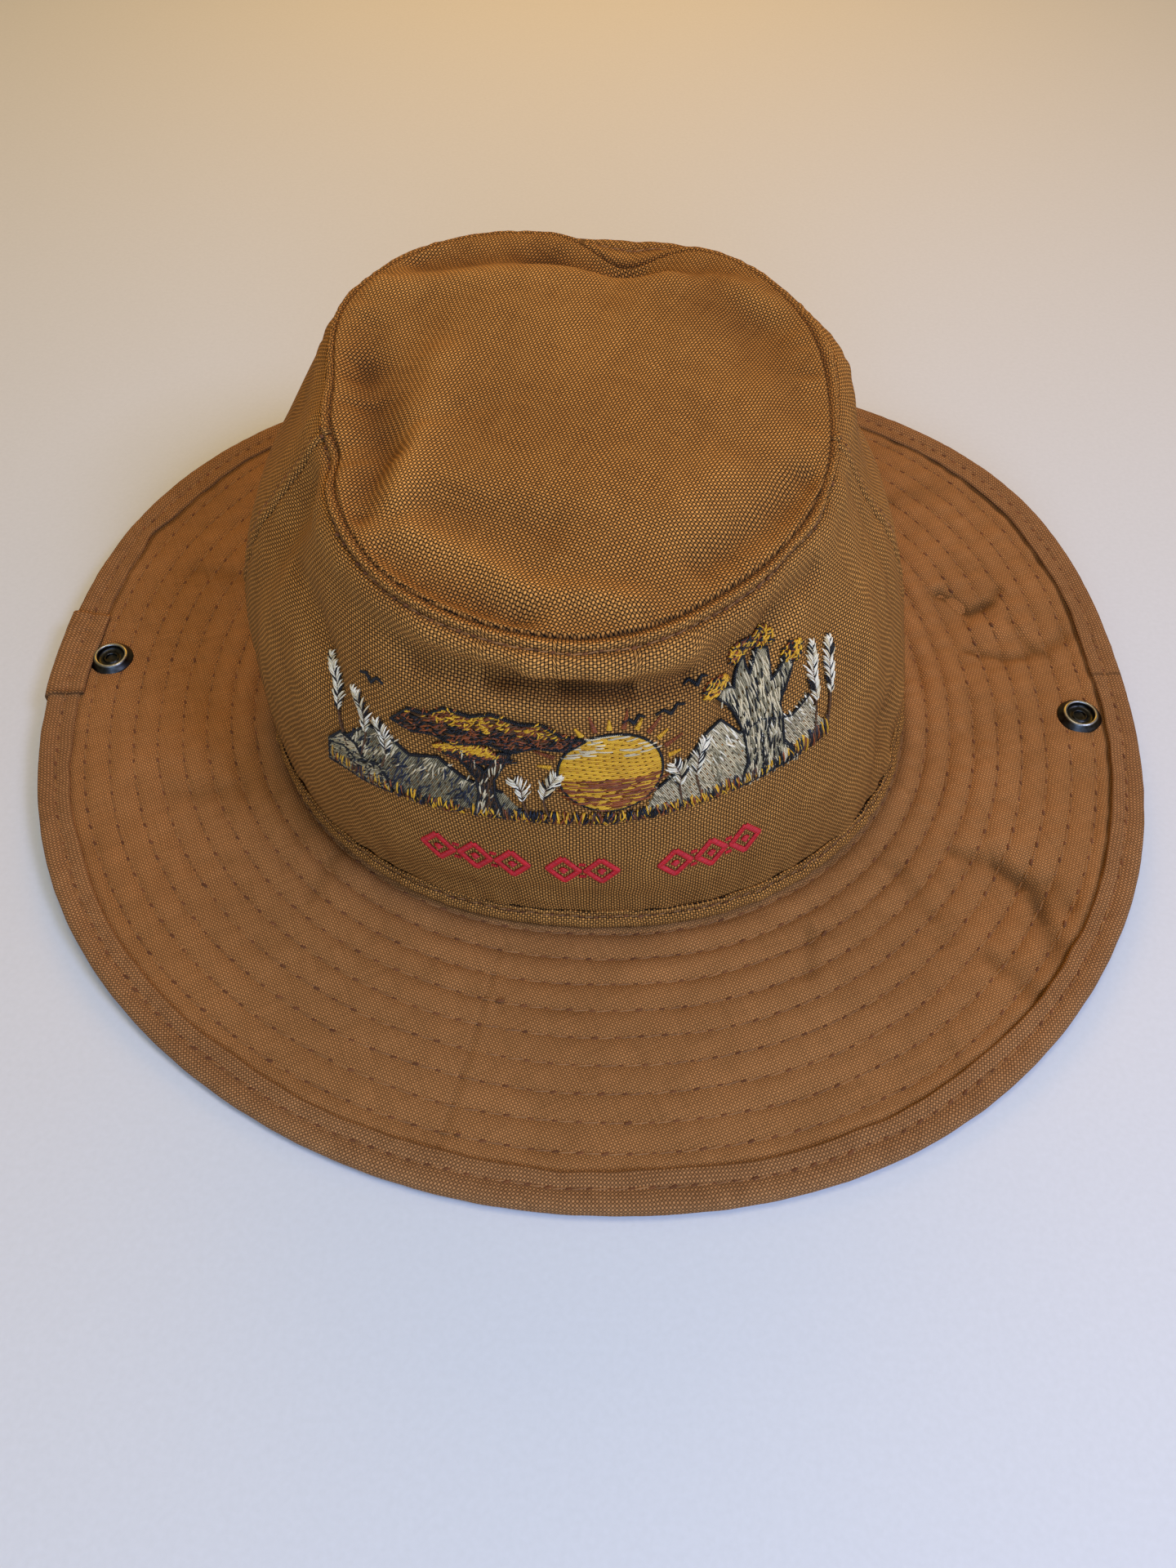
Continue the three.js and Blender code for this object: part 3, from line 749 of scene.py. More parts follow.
def rim_tape(name, degrees, is_ring, lift=0.0, reach=0.0):
    """Bias tape folded over the rim: across is from the tape's edge, 0, to the rim, 1. The lap
    is a short length of it, lifted by its own thickness and reaching a little further in."""
    section = table(
        "across height side",
        [0, 1.2, 1], [0, 1.55, 1], [0.012, 1.82, 1], [0.06, 1.95, 1], [0.16, 1.98, 1],
        [0.28, 1.92, 1], [0.36, 1.74, 1], [0.40, 1.60, 1], [0.43, 1.56, 1], [0.46, 1.62, 1],
        [0.51, 1.82, 1], [0.6, 2.08, 1], [0.72, 2.2, 1], [0.84, 2.1, 1], [0.92, 1.75, 1],
        [0.97, 1.15, 1], [0.995, 0.45, 1], [1.0, -0.3, 0], [0.985, -1.1, -1], [0.95, -1.75, -1],
        [0.88, -2.25, -1], [0.76, -2.42, -1], [0.62, -2.4, -1], [0.48, -2.2, -1],
        [0.43, -1.7, -1], [0.38, -1.95, -1], [0.2, -2.0, -1], [0.04, -1.95, -1],
        [0, -1.7, -1], [0, -1.2, -1], [0.6, -1.2, -1], [0.8, -0.5, -1], [0.8, 0.5, 1],
        [0.6, 1.2, 1],
    )
    degrees = degrees[:, None]
    edge = tape_edge(degrees) - reach
    across, height, face = (section[name][None, :] for name in ("across", "height", "side"))
    share = edge + (1 - edge) * across
    # The last five places of the section are inside, against the brim.
    outer = np.arange(len(section["across"]))[None, :] < len(section["across"]) - 5
    angle = degrees + 0 * share
    soft = 0.07 * waves(brim_point(angle, share), 15, 63) + 0.05 * gathers(degrees, 210, 64)
    # Pulled in at each stitch of its line.
    grip = -0.14 * np.cos(degrees * DEGREE * 219) * bell((across - 0.44) / 0.12)
    offset = height + outer * face * (soft * step(0.02, 0.3, across) + grip + lift)
    point = brim_point(angle, share)
    point[..., 2] += np.maximum(offset, -RIM_HALF)
    # The rim bows in and out a little between stitches.
    out = (0.05 * gathers(degrees, 74, 65) + lift) * step(0.7, 1, across) * outer
    point += around(angle, 1, 0) * out[..., None]
    # On the flat tape: round the rim and along the section, which covers 9.3 mm of the brim.
    lengths = np.diff(np.stack([section["across"] * 9.3, section["height"]]), prepend=0)
    run = np.cumsum(np.hypot(*lengths))
    flat = np.stack([angle * DEGREE * RIM_RADIUS, run[None, :] + 0 * angle], -1)
    # The tone follows the soft waves and the grip, with painted shade along the line of stitches.
    tone = soft + grip - 0.25 * bell((across - TAPE_STITCH) / 0.05)
    if not is_ring:
        # Painted shade on the cut end of the lap, which is dark.
        tone = tone - 2.5 * step(184.0, 184.7, degrees)
    return loft(name, point, flat, tone, 4, is_ring)


def press_fastener(name, degrees):
    """Cap above the brim and cap below it, each turned from a profile."""
    above = table(
        "radius height",
        [6.35, 0.02], [6.4, 0.18], [6.2, 0.42], [5.7, 0.85], [5.25, 1.35], [4.95, 1.72],
        [4.7, 1.95], [4.42, 2.03], [4.15, 1.94], [3.98, 1.7], [3.92, 1.3], [3.85, 0.8],
        [3.7, 0.5], [3.3, 0.36], [2.6, 0.32], [2.25, 0.42], [2.12, 0.66], [1.98, 0.78],
        [1.8, 0.74], [1.66, 0.5], [1.6, 0.1], [1.55, -0.5], [1.2, -0.75],
    )
    below = table(
        "radius height",
        [5.0, -0.05], [5.05, -0.3], [4.9, -0.7], [4.4, -0.98], [3.0, -1.1], [2.0, -1.0],
        [1.6, -0.8],
    )
    steps = 56
    place = brim_point(np.array(degrees), np.array(SNAP_SHARE))
    up = normal_of(brim_point, np.array(degrees), np.array(SNAP_SHARE))
    side = np.cross(up, [0, 1, 0])
    side /= np.linalg.norm(side)
    front = np.cross(up, side)
    spin = (np.arange(steps) * 2 * np.pi / steps)[:, None, None]
    points, faces, heights = [], [], []
    for half, lift, turned in ((above, BRIM_HALF - 0.2, False), (below, -BRIM_HALF, True)):
        radius, height = half["radius"], half["height"]
        start, size = len(points), len(radius)
        body = place + up * (lift + height[:, None])
        body = body + radius[:, None] * (np.cos(spin) * side + np.sin(spin) * front)
        poles = [place + up * (lift + height[0]), place + up * (lift + height[-1])]
        points += [*body.reshape(-1, 3), *poles]
        heights += [*np.tile(height, steps), height[0], height[-1]]
        first_pole, last_pole = start + steps * size, start + steps * size + 1
        for i in range(steps):
            here, there = start + i * size, start + (i + 1) % steps * size
            quads = [(here + j, there + j, there + j + 1, here + j + 1) for j in range(size - 1)]
            quads.append((there, here, first_pole))
            quads.append((here + size - 1, there + size - 1, last_pole))
            faces += [tuple(reversed(q)) for q in quads] if turned else quads
    return mesh_object(name + "_metal", np.array(points), faces, None, np.array(heights))


# ------------------------------------------------------------------ materials

MATHS, NOISE, SPREAD = "ShaderNodeMath", "ShaderNodeTexNoise", "ShaderNodeMapRange"
FLAT = {"noise_dimensions": "2D"}


def colour(code):
    """sRGB hex to linear."""
    parts = [int(code[i:i + 2], 16) / 255 for i in (1, 3, 5)]
    return tuple(c / 12.92 if c <= 0.04045 else ((c + 0.055) / 1.055) ** 2.4 for c in parts) + (1,)


def add(tree, kind, settings=None, **links):
    """Adds a node: settings are its properties, or its operation in one word. links are its
    inputs, i0 and so on or by name, each a value, a socket or a node with its first output."""
    node = tree.nodes.new(kind)
    if isinstance(settings, str):
        settings = {"operation": settings}
    for name, value in (settings or {}).items():
        setattr(node, name, value)
    for name, value in links.items():
        key = int(name[1:]) if name[0] == "i" and name[1:].isdigit() else name.replace("_", " ")
        if isinstance(value, bpy.types.Node):
            value = value.outputs[0]
        if isinstance(value, bpy.types.NodeSocket):
            tree.links.new(value, node.inputs[key])
        else:
            node.inputs[key].default_value = value
    return node


def new_material(name):
    material = bpy.data.materials.new(name)
    material.use_nodes = True
    material.node_tree.nodes.clear()
    return material, material.node_tree


def finish_material(tree, **surface):
    """Ends a material with its shader, whose inputs surface gives."""
    add(tree, "ShaderNodeOutputMaterial",
        Surface=add(tree, "ShaderNodeBsdfPrincipled", **surface))


def woven_cloth(name, light, dark, pitch, turn, relief_shading, pinhole):
    """Plain-woven cotton: each crossing of two yarns is a small bump, longer along the yarn that
    lies on top. The top of each crossing is painted lighter and the pinhole between the
    crossings painted dark, as their light and shade. pitch is the millimetres between yarns, turn
    the degrees to the thread, wear, which is painted light and shade of the relief, how much paler
    raised cloth and darker sunk cloth are, and pinhole how dark the gaps are, from 0, black, to 1."""
    material, tree = new_material(name)
    cloth = add(tree, "ShaderNodeUVMap", {"uv_map": "cloth"})
    turned = add(tree, "ShaderNodeMapping", {"vector_type": "TEXTURE"}, Vector=cloth,
                 Rotation=(0, 0, turn * DEGREE), Scale=(pitch, pitch, pitch))
    # Yarns are not quite straight.
    drift = add(tree, NOISE, FLAT, Vector=turned, Scale=0.06, Detail=1.0)
    bent = add(tree, "ShaderNodeVectorMath", "MULTIPLY_ADD", i0=drift.outputs[1],
               i1=(1.6, 1.6, 0), i2=turned)
    split = add(tree, "ShaderNodeSeparateXYZ", Vector=bent)
    warp, weft = (add(tree, MATHS, "SINE", i0=add(tree, MATHS, "MULTIPLY", i0=across, i1=np.pi))
                  for across in split.outputs[:2])
    is_warp = add(tree, MATHS, "GREATER_THAN", i0=add(tree, MATHS, "MULTIPLY", i0=warp, i1=weft),
                  i1=0.0)
    warp_round, weft_round = (add(tree, MATHS, "ABSOLUTE", i0=yarn) for yarn in (warp, weft))
    warp_top, weft_top = (
        add(tree, MATHS, "MULTIPLY", i0=add(tree, MATHS, "POWER", i0=over, i1=0.75),
            i1=add(tree, MATHS, "POWER", i0=under, i1=0.4))
        for over, under in ((warp_round, weft_round), (weft_round, warp_round)))
    bumps = add(tree, "ShaderNodeMix", {"data_type": "FLOAT"}, i0=is_warp,
                i2=add(tree, MATHS, "MULTIPLY", i0=weft_top, i1=0.55), i3=warp_top)
    # Thick and thin places run along single yarns.
    slub_a, slub_b = (
        add(tree, NOISE, FLAT, Vector=add(tree, "ShaderNodeMapping", Vector=bent, Scale=stretch),
            Scale=0.9, Detail=1.0)
        for stretch in ((1.0, 0.045, 1.0), (0.045, 1.0, 1.0)))
    slubs = add(tree, MATHS, "ADD", i0=slub_a, i1=slub_b)
    fuzz = add(tree, NOISE, FLAT, Vector=bent, Scale=1.7, Detail=2.0)
    rough = add(tree, MATHS, "MULTIPLY", i0=add(tree, MATHS, "ADD", i0=slubs, i1=fuzz), i1=0.35)
    height = add(tree, MATHS, "ADD", i0=bumps, i1=rough)
    # Dye: uneven over hand widths and over finger widths.
    # Painted light and shade of the relief: paler where the cloth is raised, darker where it is
    # sunk.
    broad = add(tree, NOISE, FLAT, Vector=cloth, Scale=0.021, Detail=2.0)
    blotch = add(tree, NOISE, FLAT, Vector=cloth, Scale=0.16, Detail=3.0)
    relief = add(tree, "ShaderNodeAttribute", {"attribute_name": "relief"}).outputs["Fac"]
    raised = add(tree, MATHS, "MULTIPLY", i0=relief, i1=relief_shading)
    uneven = add(tree, MATHS, "MULTIPLY", i0=add(tree, MATHS, "ADD", i0=broad, i1=blotch), i1=0.3)
    tone = add(tree, MATHS, "ADD", i0=add(tree, MATHS, "MULTIPLY", i0=slubs, i1=0.34), i1=uneven)
    tone = add(tree, MATHS, "ADD", i0=add(tree, MATHS, "ADD", i0=tone, i1=raised), i1=-0.14)
    dyed = add(tree, "ShaderNodeMix", {"data_type": "RGBA", "clamp_factor": True}, i0=tone,
               i6=colour(dark), i7=colour(light))
    # Painted light and shade of the weave: the tops of the crossings lighter, the pinholes darker.
    shade = add(tree, SPREAD, Value=bumps, From_Min=0.2, From_Max=0.78, To_Min=pinhole, To_Max=1.18)
    # Painted shade in the bottom of the deepest creases and in the seams, read from the relief.
    crease_shade = add(tree, SPREAD, Value=relief, From_Min=-5.5, From_Max=-2.4, To_Min=0.38, To_Max=1.0)
    lit = add(tree, "ShaderNodeMix", {"data_type": "RGBA", "blend_type": "MULTIPLY"}, i0=1.0,
              i6=dyed.outputs[2], i7=add(tree, MATHS, "MULTIPLY", i0=shade, i1=crease_shade))
    bump = add(tree, "ShaderNodeBump", Strength=0.85, Distance=0.00016, Height=height)
    finish_material(tree, Base_Color=lit.outputs[2], Roughness=0.88, Specular_IOR_Level=0.14,
                    Sheen_Weight=0.08, Sheen_Roughness=0.45, Sheen_Tint=colour(light), Normal=bump)
    return material


def spun_thread(name, light, dark, roughness, twist):
    """Sewing or embroidery thread: fine plies turn round it and each stitch has its own tone."""
    material, tree = new_material(name)
    tone = add(tree, "ShaderNodeAttribute", {"attribute_name": "tone"}).outputs["Fac"]
    place = add(tree, "ShaderNodeTexCoord").outputs["Object"]
    wave = {"wave_type": "BANDS", "bands_direction": "DIAGONAL"}
    plies = add(tree, "ShaderNodeTexWave", wave, Vector=place, Scale=twist, Distortion=1.5,
                Detail=1.0).outputs["Fac"]
    mixed = add(tree, MATHS, "ADD", i0=add(tree, MATHS, "MULTIPLY", i0=tone, i1=0.75),
                i1=add(tree, MATHS, "MULTIPLY", i0=plies, i1=0.25))
    dyed = add(tree, "ShaderNodeMix", {"data_type": "RGBA"}, i0=mixed, i6=colour(dark),
               i7=colour(light))
    bump = add(tree, "ShaderNodeBump", Strength=0.5, Distance=0.00005, Height=plies)
    finish_material(tree, Base_Color=dyed.outputs[2], Roughness=roughness, Specular_IOR_Level=0.3,
                    Sheen_Weight=0.05, Sheen_Roughness=0.4, Normal=bump)
    return material


def antique_brass(name):
    """Brass blackened in a bath and tumbled: nearly black in the bowl, bright on the rolled rim."""
    material, tree = new_material(name)
    relief = add(tree, "ShaderNodeAttribute", {"attribute_name": "relief"}).outputs["Fac"]
    place = add(tree, "ShaderNodeTexCoord").outputs["Object"]
    patches = add(tree, NOISE, Vector=place, Scale=900.0, Detail=4.0)
    rubbed = add(tree, MATHS, "ADD",
                 i0=add(tree, SPREAD, Value=relief, From_Min=1.6, From_Max=2.08, To_Min=0.0,
                        To_Max=1.0),
                 i1=add(tree, MATHS, "MULTIPLY", i0=patches, i1=0.16))
    metal = add(tree, "ShaderNodeMix", {"data_type": "RGBA", "clamp_factor": True}, i0=rubbed,
                i6=colour("#121213"), i7=colour("#B4ACA2"))
    rough = add(tree, SPREAD, Value=patches, From_Min=0.2, From_Max=0.8, To_Min=0.28, To_Max=0.46)
    bump = add(tree, "ShaderNodeBump", Strength=0.25, Distance=0.00005, Height=patches)
    finish_material(tree, Base_Color=metal.outputs[2], Metallic=1.0, Roughness=rough, Normal=bump)
    return material


def matt_paper(name):
    """Pale studio paper with a faint tooth."""
    material, tree = new_material(name)
    place = add(tree, "ShaderNodeTexCoord").outputs["Object"]
    tooth = add(tree, NOISE, Vector=place, Scale=700.0, Detail=2.0)
    paper = add(tree, "ShaderNodeMix", {"data_type": "RGBA"}, i0=tooth, i6=colour("#D3D0CC"),
                i7=colour("#DBD8D5"))
    bump = add(tree, "ShaderNodeBump", Strength=0.15, Distance=0.0002, Height=tooth)
    finish_material(tree, Base_Color=paper.outputs[2], Roughness=0.8, Specular_IOR_Level=0.3,
                    Normal=bump)
    return material


# The yarns of the crown and the tape are really 0.55 mm apart and are drawn coarser, so that they
# show; the brim's are drawn finer than these.
canvas = woven_cloth("cotton_canvas_plain_weave", "#EAA14F", "#9A6029", 0.68, 0, 0.15, 0.0)
brim_canvas = woven_cloth("cotton_canvas_quilted_brim", "#CE8A4F", "#8A5A2C", 0.56, 24, 0.17, 0.34)
tape_cloth = woven_cloth("cotton_tape_bias_cut", "#C88C56", "#86562E", 0.64, 45, 0.15, 0.28)
sewing_thread = spun_thread("polyester_sewing_thread", "#A06C3A", "#7C5029", 0.6, 500.0)
# Painted shade inside a needle hole: dull and darker than the thread.
needle_hole_shade = spun_thread("needle_hole_painted_shade", "#7F4C28", "#5C3418", 0.95, 500.0)
brass = antique_brass("antique_brass_press_fastener")

# ------------------------------------------------------------------ cloth pieces

LEFT, RIGHT = SIDE_SEAMS["left"], SIDE_SEAMS["right"]
tip = tip_panel()
side_front = side_panel("side_front_canvas", LEFT, RIGHT, 250)
side_back = side_panel("side_back_canvas", RIGHT, LEFT, 220)
strip = crown_strip()
# The upper brim's tone has painted shade in its creases and along the tape's inner edge.
brim_top = shell("brim_top_canvas", brim_point, brim_relief, np.arange(720) * 0.5,
                 brim_rows()[::-1], 12, (BRIM_HALF, 0.15), plan, True, brim_painted_shade)
brim_under = shell("brim_under_canvas", brim_point, under_relief,
                   np.arange(600) * 0.6, np.concatenate([[-0.02], np.linspace(0.0, 0.95, 76)]), 19,
                   (-BRIM_HALF, -0.35), plan, True)
tape = rim_tape("rim_tape", np.arange(760) * 360 / 760, True)
lap_degrees = np.append(np.linspace(173, 184.4, 34), [184.7, 184.9])
lap = rim_tape("rim_tape_lap", lap_degrees, False, TAPE, 0.018)
fasteners = {name: press_fastener(name, degrees) for name, degrees in SNAPS.items()}

for piece in (tip, side_front, side_back, strip):
    piece.data.materials.append(canvas)
for piece in (brim_top, brim_under):
    piece.data.materials.append(brim_canvas)
for piece in (tape, lap):
    piece.data.materials.append(tape_cloth)
for piece in fasteners.values():
    piece.data.materials.append(brass)

# ------------------------------------------------------------------ stitches


def unit_stitch(name, half_width, rise, sink, stations):
    """Shape of one stitch, a metre long before it is scaled, which dives into the cloth at its
    ends. It has five sides, and stations gives places along it with how thick it is there."""
    sides = np.arange(5) * 2 * np.pi / 5
    points, faces = [(-0.5, 0, -sink)], []
    for along, swell in stations:
        thick, dive = half_width * swell, (2 * along) ** 4
        points += [(along, thick * np.sin(a), thick * np.cos(a) + rise * (1 - dive) - sink * dive)
                   for a in sides]
    points.append((0.5, 0, -sink))
    last = len(points) - 1
    for i in range(5):
        j = (i + 1) % 5
        faces.append((0, 1 + i, 1 + j))
        for k in range(len(stations) - 1):
            faces.append((1 + 5 * k + i, 6 + 5 * k + i, 6 + 5 * k + j, 1 + 5 * k + j))
        faces.append((last, last - 5 + j, last - 5 + i))
    mesh = bpy.data.meshes.new(name)
    mesh.from_pydata(points, [], faces)
    mesh.polygons.foreach_set("use_smooth", [True] * len(faces))
    shape = bpy.data.objects.new(name, mesh)
    shape.hide_render = True
    return shape


def stitch_tree():
    """Puts one stitch on each point of a mesh, along its "run" and with its "up" outwards."""
    tree = bpy.data.node_groups.new("stitches_along_a_line", "GeometryNodeTree")
    face = tree.interface
    face.new_socket("Geometry", in_out="OUTPUT", socket_type="NodeSocketGeometry")
    for name, kind in (("Geometry", "Geometry"), ("Stitch", "Object"), ("Thread", "Material"),
                       ("Length", "Float"), ("Turn", "Float"), ("Turn spread", "Float"),
                       ("Size spread", "Float"), ("Seed", "Int")):
        face.new_socket(name, in_out="INPUT", socket_type="NodeSocket" + kind)
    inputs = add(tree, "NodeGroupInput").outputs
    vector = {"data_type": "FLOAT_VECTOR"}
    run, up = (add(tree, "GeometryNodeInputNamedAttribute", vector, Name=name)
               for name in ("run", "up"))
    upright = add(tree, "FunctionNodeAlignRotationToVector", {"axis": "Z"}, Vector=up)
    aimed = add(tree, "FunctionNodeAlignRotationToVector", {"axis": "X", "pivot_axis": "Z"},
                Rotation=upright, Vector=run)
    chance = add(tree, "FunctionNodeRandomValue", {"data_type": "FLOAT"}, i2=-1.0, i3=1.0,
                 Seed=inputs["Seed"]).outputs[1]
    swing = add(tree, MATHS, "MULTIPLY_ADD", i0=chance, i1=inputs["Turn spread"],
                i2=inputs["Turn"])
    turned = add(tree, "FunctionNodeRotateRotation", {"rotation_space": "LOCAL"}, Rotation=aimed,
                 Rotate_By=add(tree, "ShaderNodeCombineXYZ", Z=swing))
    spread = add(tree, MATHS, "MULTIPLY_ADD", i0=chance, i1=inputs["Size spread"], i2=1.0)
    longer = add(tree, MATHS, "MULTIPLY", i0=inputs["Length"], i1=spread)
    size = add(tree, "ShaderNodeCombineXYZ", X=longer, Y=spread, Z=spread)
    shape = add(tree, "GeometryNodeObjectInfo", Object=inputs["Stitch"]).outputs["Geometry"]
    sewn = add(tree, "GeometryNodeInstanceOnPoints", Points=inputs["Geometry"], Instance=shape,
               Rotation=turned, Scale=size)
    own_tone = add(tree, "FunctionNodeRandomValue", {"data_type": "FLOAT"}, i2=0.0, i3=1.0, Seed=7)
    each = {"data_type": "FLOAT", "domain": "INSTANCE"}
    toned = add(tree, "GeometryNodeStoreNamedAttribute", each, Geometry=sewn, Name="tone",
                Value=own_tone.outputs[1])
    real = add(tree, "GeometryNodeRealizeInstances", Geometry=toned)
    done = add(tree, "GeometryNodeSetMaterial", Geometry=real, Material=inputs["Thread"])
    add(tree, "NodeGroupOutput", Geometry=done)
    return tree


def stitch_places(line, pitch, start=0.0):
    """Points at every pitch along a line, with the way it runs and the way out of the cloth.
    line gives a point and a normal for an array of places from 0 to 1."""
    part = np.linspace(0, 1, 3000)
    point, _ = line(part)
    length = np.append(0, np.cumsum(np.linalg.norm(np.diff(point, axis=0), axis=1)))
    count = int(length[-1] // pitch)
    at = np.interp((np.arange(count) + 0.5 + start) * length[-1] / count, length, part)
    here, up = line(at)
    run = line(np.minimum(at + 1e-3, 1))[0] - line(np.maximum(at - 1e-3, 0))[0]
    return np.stack([here, run / np.linalg.norm(run, axis=1, keepdims=True), up], 1)


def sew(tree, seed, name, places, shape, material, length, turn, turn_spread, size_spread):
    """A piece made of stitches at these places, some millimetres long and turned by some degrees,
    both give or take their spread."""
    mesh = bpy.data.meshes.new(name)
    mesh.from_pydata(placed(places[:, 0]).tolist(), [], [])
    set_attribute(mesh, "run", places[:, 1])
    set_attribute(mesh, "up", places[:, 2])
    seeds = new_object(name + "_places", mesh)
    modifier = seeds.modifiers.new("stitches", "NODES")
    modifier.node_group = tree
    socket = {item.name: item.identifier for item in tree.interface.items_tree
              if item.in_out == "INPUT"}
    values = {"Stitch": shape, "Thread": material, "Length": length / 1000, "Turn": turn * DEGREE,
              "Turn spread": turn_spread * DEGREE, "Size spread": size_spread, "Seed": seed}
    for key, value in values.items():
        modifier[socket[key]] = value
    bpy.context.view_layer.update()
    evaluated = seeds.evaluated_get(bpy.context.evaluated_depsgraph_get())
    made = bpy.data.meshes.new_from_object(evaluated)
    made.name = name
    piece = new_object(name, made)
    bpy.data.objects.remove(seeds)
    return piece


def on_cloth(surface, relief_of, degrees, share, lift):
    """A line on a cloth for stitch_places: degrees and share are functions of the place."""
    def line(part):
        angle, where = degrees(part), share(part)
        normal = normal_of(surface, angle, where)
        height = relief_of(angle, where) + lift
        return surface(angle, where) + height[:, None] * normal, normal * np.sign(lift)
    return line


def full_turn(part):
    """Degrees of a place on a line right round the hat."""
    return part * 360 + 0.5


def quilting_rows(side):
    """The lines of quilting, seen from above (1) or from below (-1)."""
    rows = []
    for k in range(ROW_COUNT):
        def share(part, k=k):
            return ROW_FIRST + k * ROW_SPACING + 0.0022 * gathers(part * 360, 14, 70 + k)
        relief = brim_relief if side > 0 else under_relief
        line = on_cloth(brim_point, relief, full_turn, share, side * (BRIM_HALF + 0.04))
        rows.append(stitch_places(line, QUILT_PITCH, 0.13 * k))
    return np.concatenate(rows)


def tape_line():
    """The line of stitches that holds the tape, up over its lap too."""
    def line(part):
        angle = full_turn(part)
        edge = tape_edge(angle)
        share = edge + (1 - edge) * TAPE_STITCH + 0.0012 * gathers(angle, 40, 66)
        normal = normal_of(brim_point, angle, share)
        point = brim_point(angle, share)
        point[:, 2] += 1.6 + TAPE * tape_lap(angle)
        return point, normal
    return stitch_places(line, TAPE_PITCH)


def crown_lines():
    """Topstitching under the tip's seam, beside the side seams and along the strip at the foot."""
    def below_tip(part):
        return 1 - (TOPSTITCH + 0.12 * gathers(part * 360, 30, 71)) / SIDE_HEIGHT

    def up_side(part):
        return 0.09 + 0.86 * part

    ways = [(full_turn, below_tip)]
    for name, (foot, top) in SIDE_SEAMS.items():
        aside = SEAM_STITCH / (DEGREE * SIDE_RADIUS) * (1 if name == "right" else -1)

        def beside(part, foot=foot, top=top, aside=aside):
            return foot + (top - foot) * up_side(part) + aside
        ways.append((beside, up_side))
    lines = [stitch_places(on_cloth(side_point, side_relief, degrees, share, 0.05), SEAM_PITCH)
             for degrees, share in ways]

    def strip_line(part):
        angle = full_turn(part)
        share = strip_share(STRIP_STITCH) + 0 * angle
        out = 0.55 + 0.6 * strip_puckers(angle)
        point = side_point(angle, share) + around(angle, 1, 0) * out[:, None]
        point[:, 2] += 0.15 * gathers(angle, 34, 53)
        normal = around(angle, 1, 0.6)
        return point, normal / np.linalg.norm(normal, axis=1, keepdims=True)
    lines.append(stitch_places(strip_line, SEAM_PITCH + 0.4))
    return np.concatenate(lines)


def between(places, pitch):
    """The needle holes: half a pitch on from each stitch."""
    holes = places.copy()
    holes[:, 0] += holes[:, 1] * pitch / 2
    return holes


stitch_shape = unit_stitch("stitch_shape", 0.00022, 0.0, 0.0004,
                           ((-0.46, 0.7), (-0.3, 1.0), (0.3, 1.0), (0.46, 0.7)))
hole_shape = unit_stitch("needle_hole_shape", 0.00033, -0.00010, 0.0002,
                         ((-0.25, 1.0), (0.25, 1.0)))
upper_rows, tape_row, crown_rows = quilting_rows(1), tape_line(), crown_lines()
quilt_holes, tape_holes, crown_holes = (
    between(places, pitch) for places, pitch in (
        (upper_rows, QUILT_PITCH), (tape_row, TAPE_PITCH), (crown_rows, SEAM_PITCH)))
# The needle holes are dark dashes of painted shade.
thread, hole = (stitch_shape, sewing_thread), (hole_shape, needle_hole_shade)
sewing = stitch_tree()
stitches = [sew(sewing, seed, *run) for seed, run in enumerate((
    ("quilting_thread", upper_rows, *thread, 4.9, 4, 3, 0.08),
    ("quilting_holes", quilt_holes, *hole, 2.1, 10, 10, 0.25),
    ("quilting_thread_below", quilting_rows(-1), *thread, 5.0, 4, 3, 0.08),
    ("tape_thread", tape_row, *thread, 4.0, 5, 4, 0.1),
    ("tape_holes", tape_holes, *hole, 2.2, 12, 14, 0.35),
    ("crown_thread", crown_rows, *thread, 2.8, 5, 4, 0.1),
    ("crown_holes", crown_holes, *hole, 1.2, 15, 14, 0.3),
), 1)]

# ------------------------------------------------------------------ embroidery

# A savanna at dusk, drawn on the front half's flat cloth: x along it and y up from the ground.
# Shapes are closed outlines, x and y in turn.
SHAPES = {
    "far_hill": (-61, -1, -60, 5, -55, 9, -49, 15, -44, 16, -38, 12, -31, 14, -25, 9, -17, 6,
                 -12, -1),
    "near_hill": (14, -1, 17, 6, 23, 10, 29, 16, 34, 17, 38, 12, 44, 13, 52, 10, 58, 12, 62, -1),
    "canopy": (-42, 21, -38, 25, -33, 25.5, -29, 28.5, -23, 28, -18, 30, -12, 28, -7, 28.5, -3, 25,
               2, 23.5, -2, 20.5, -9, 21, -14, 19, -20, 21, -27, 19, -32, 20.5, -37, 19.5),
    "low_canopy": (-32, 17.5, -27, 19.5, -20, 19, -14, 16, -20, 14.5, -27, 15),
    "trunk": (-23.5, -2, -22, 5, -22.5, 10, -27, 17, -25.5, 18, -20.5, 12, -17, 18.5, -14.5, 18.5,
              -18.5, 10, -18.5, 5, -17, -2),
    "baobab": (36.5, -2, 39, 4, 39, 12, 37, 19, 33, 24, 35, 25.5, 39.5, 22, 41, 28, 43.5, 28.5,
               44, 23, 48, 27.5, 50.5, 26.5, 48.5, 20, 54, 23, 55, 21, 49.5, 15, 49, 5, 53, -2),
    "boulders": (-61, -2, -60.5, 5, -57, 9, -52.5, 8, -50, 4.5, -46, 5, -43.5, 1, -43, -2),
}


def on_front(x, y, ground=49.5, slope=0.065, sag=0.0):
    """The picture's x and y to angle and share of the side. Its ground line rises to the right."""
    up = ground + sag * (x - 3) ** 2 + slope * x + y
    return 270 + x / (SIDE_RADIUS * DEGREE), up / SIDE_HEIGHT


def in_row(x, y):
    """The same for the ornament below the picture, whose line sags in the middle."""
    return on_front(x, y, 23.5, 0.012, 0.0012)


chance = np.random.default_rng(12)
threads = {}


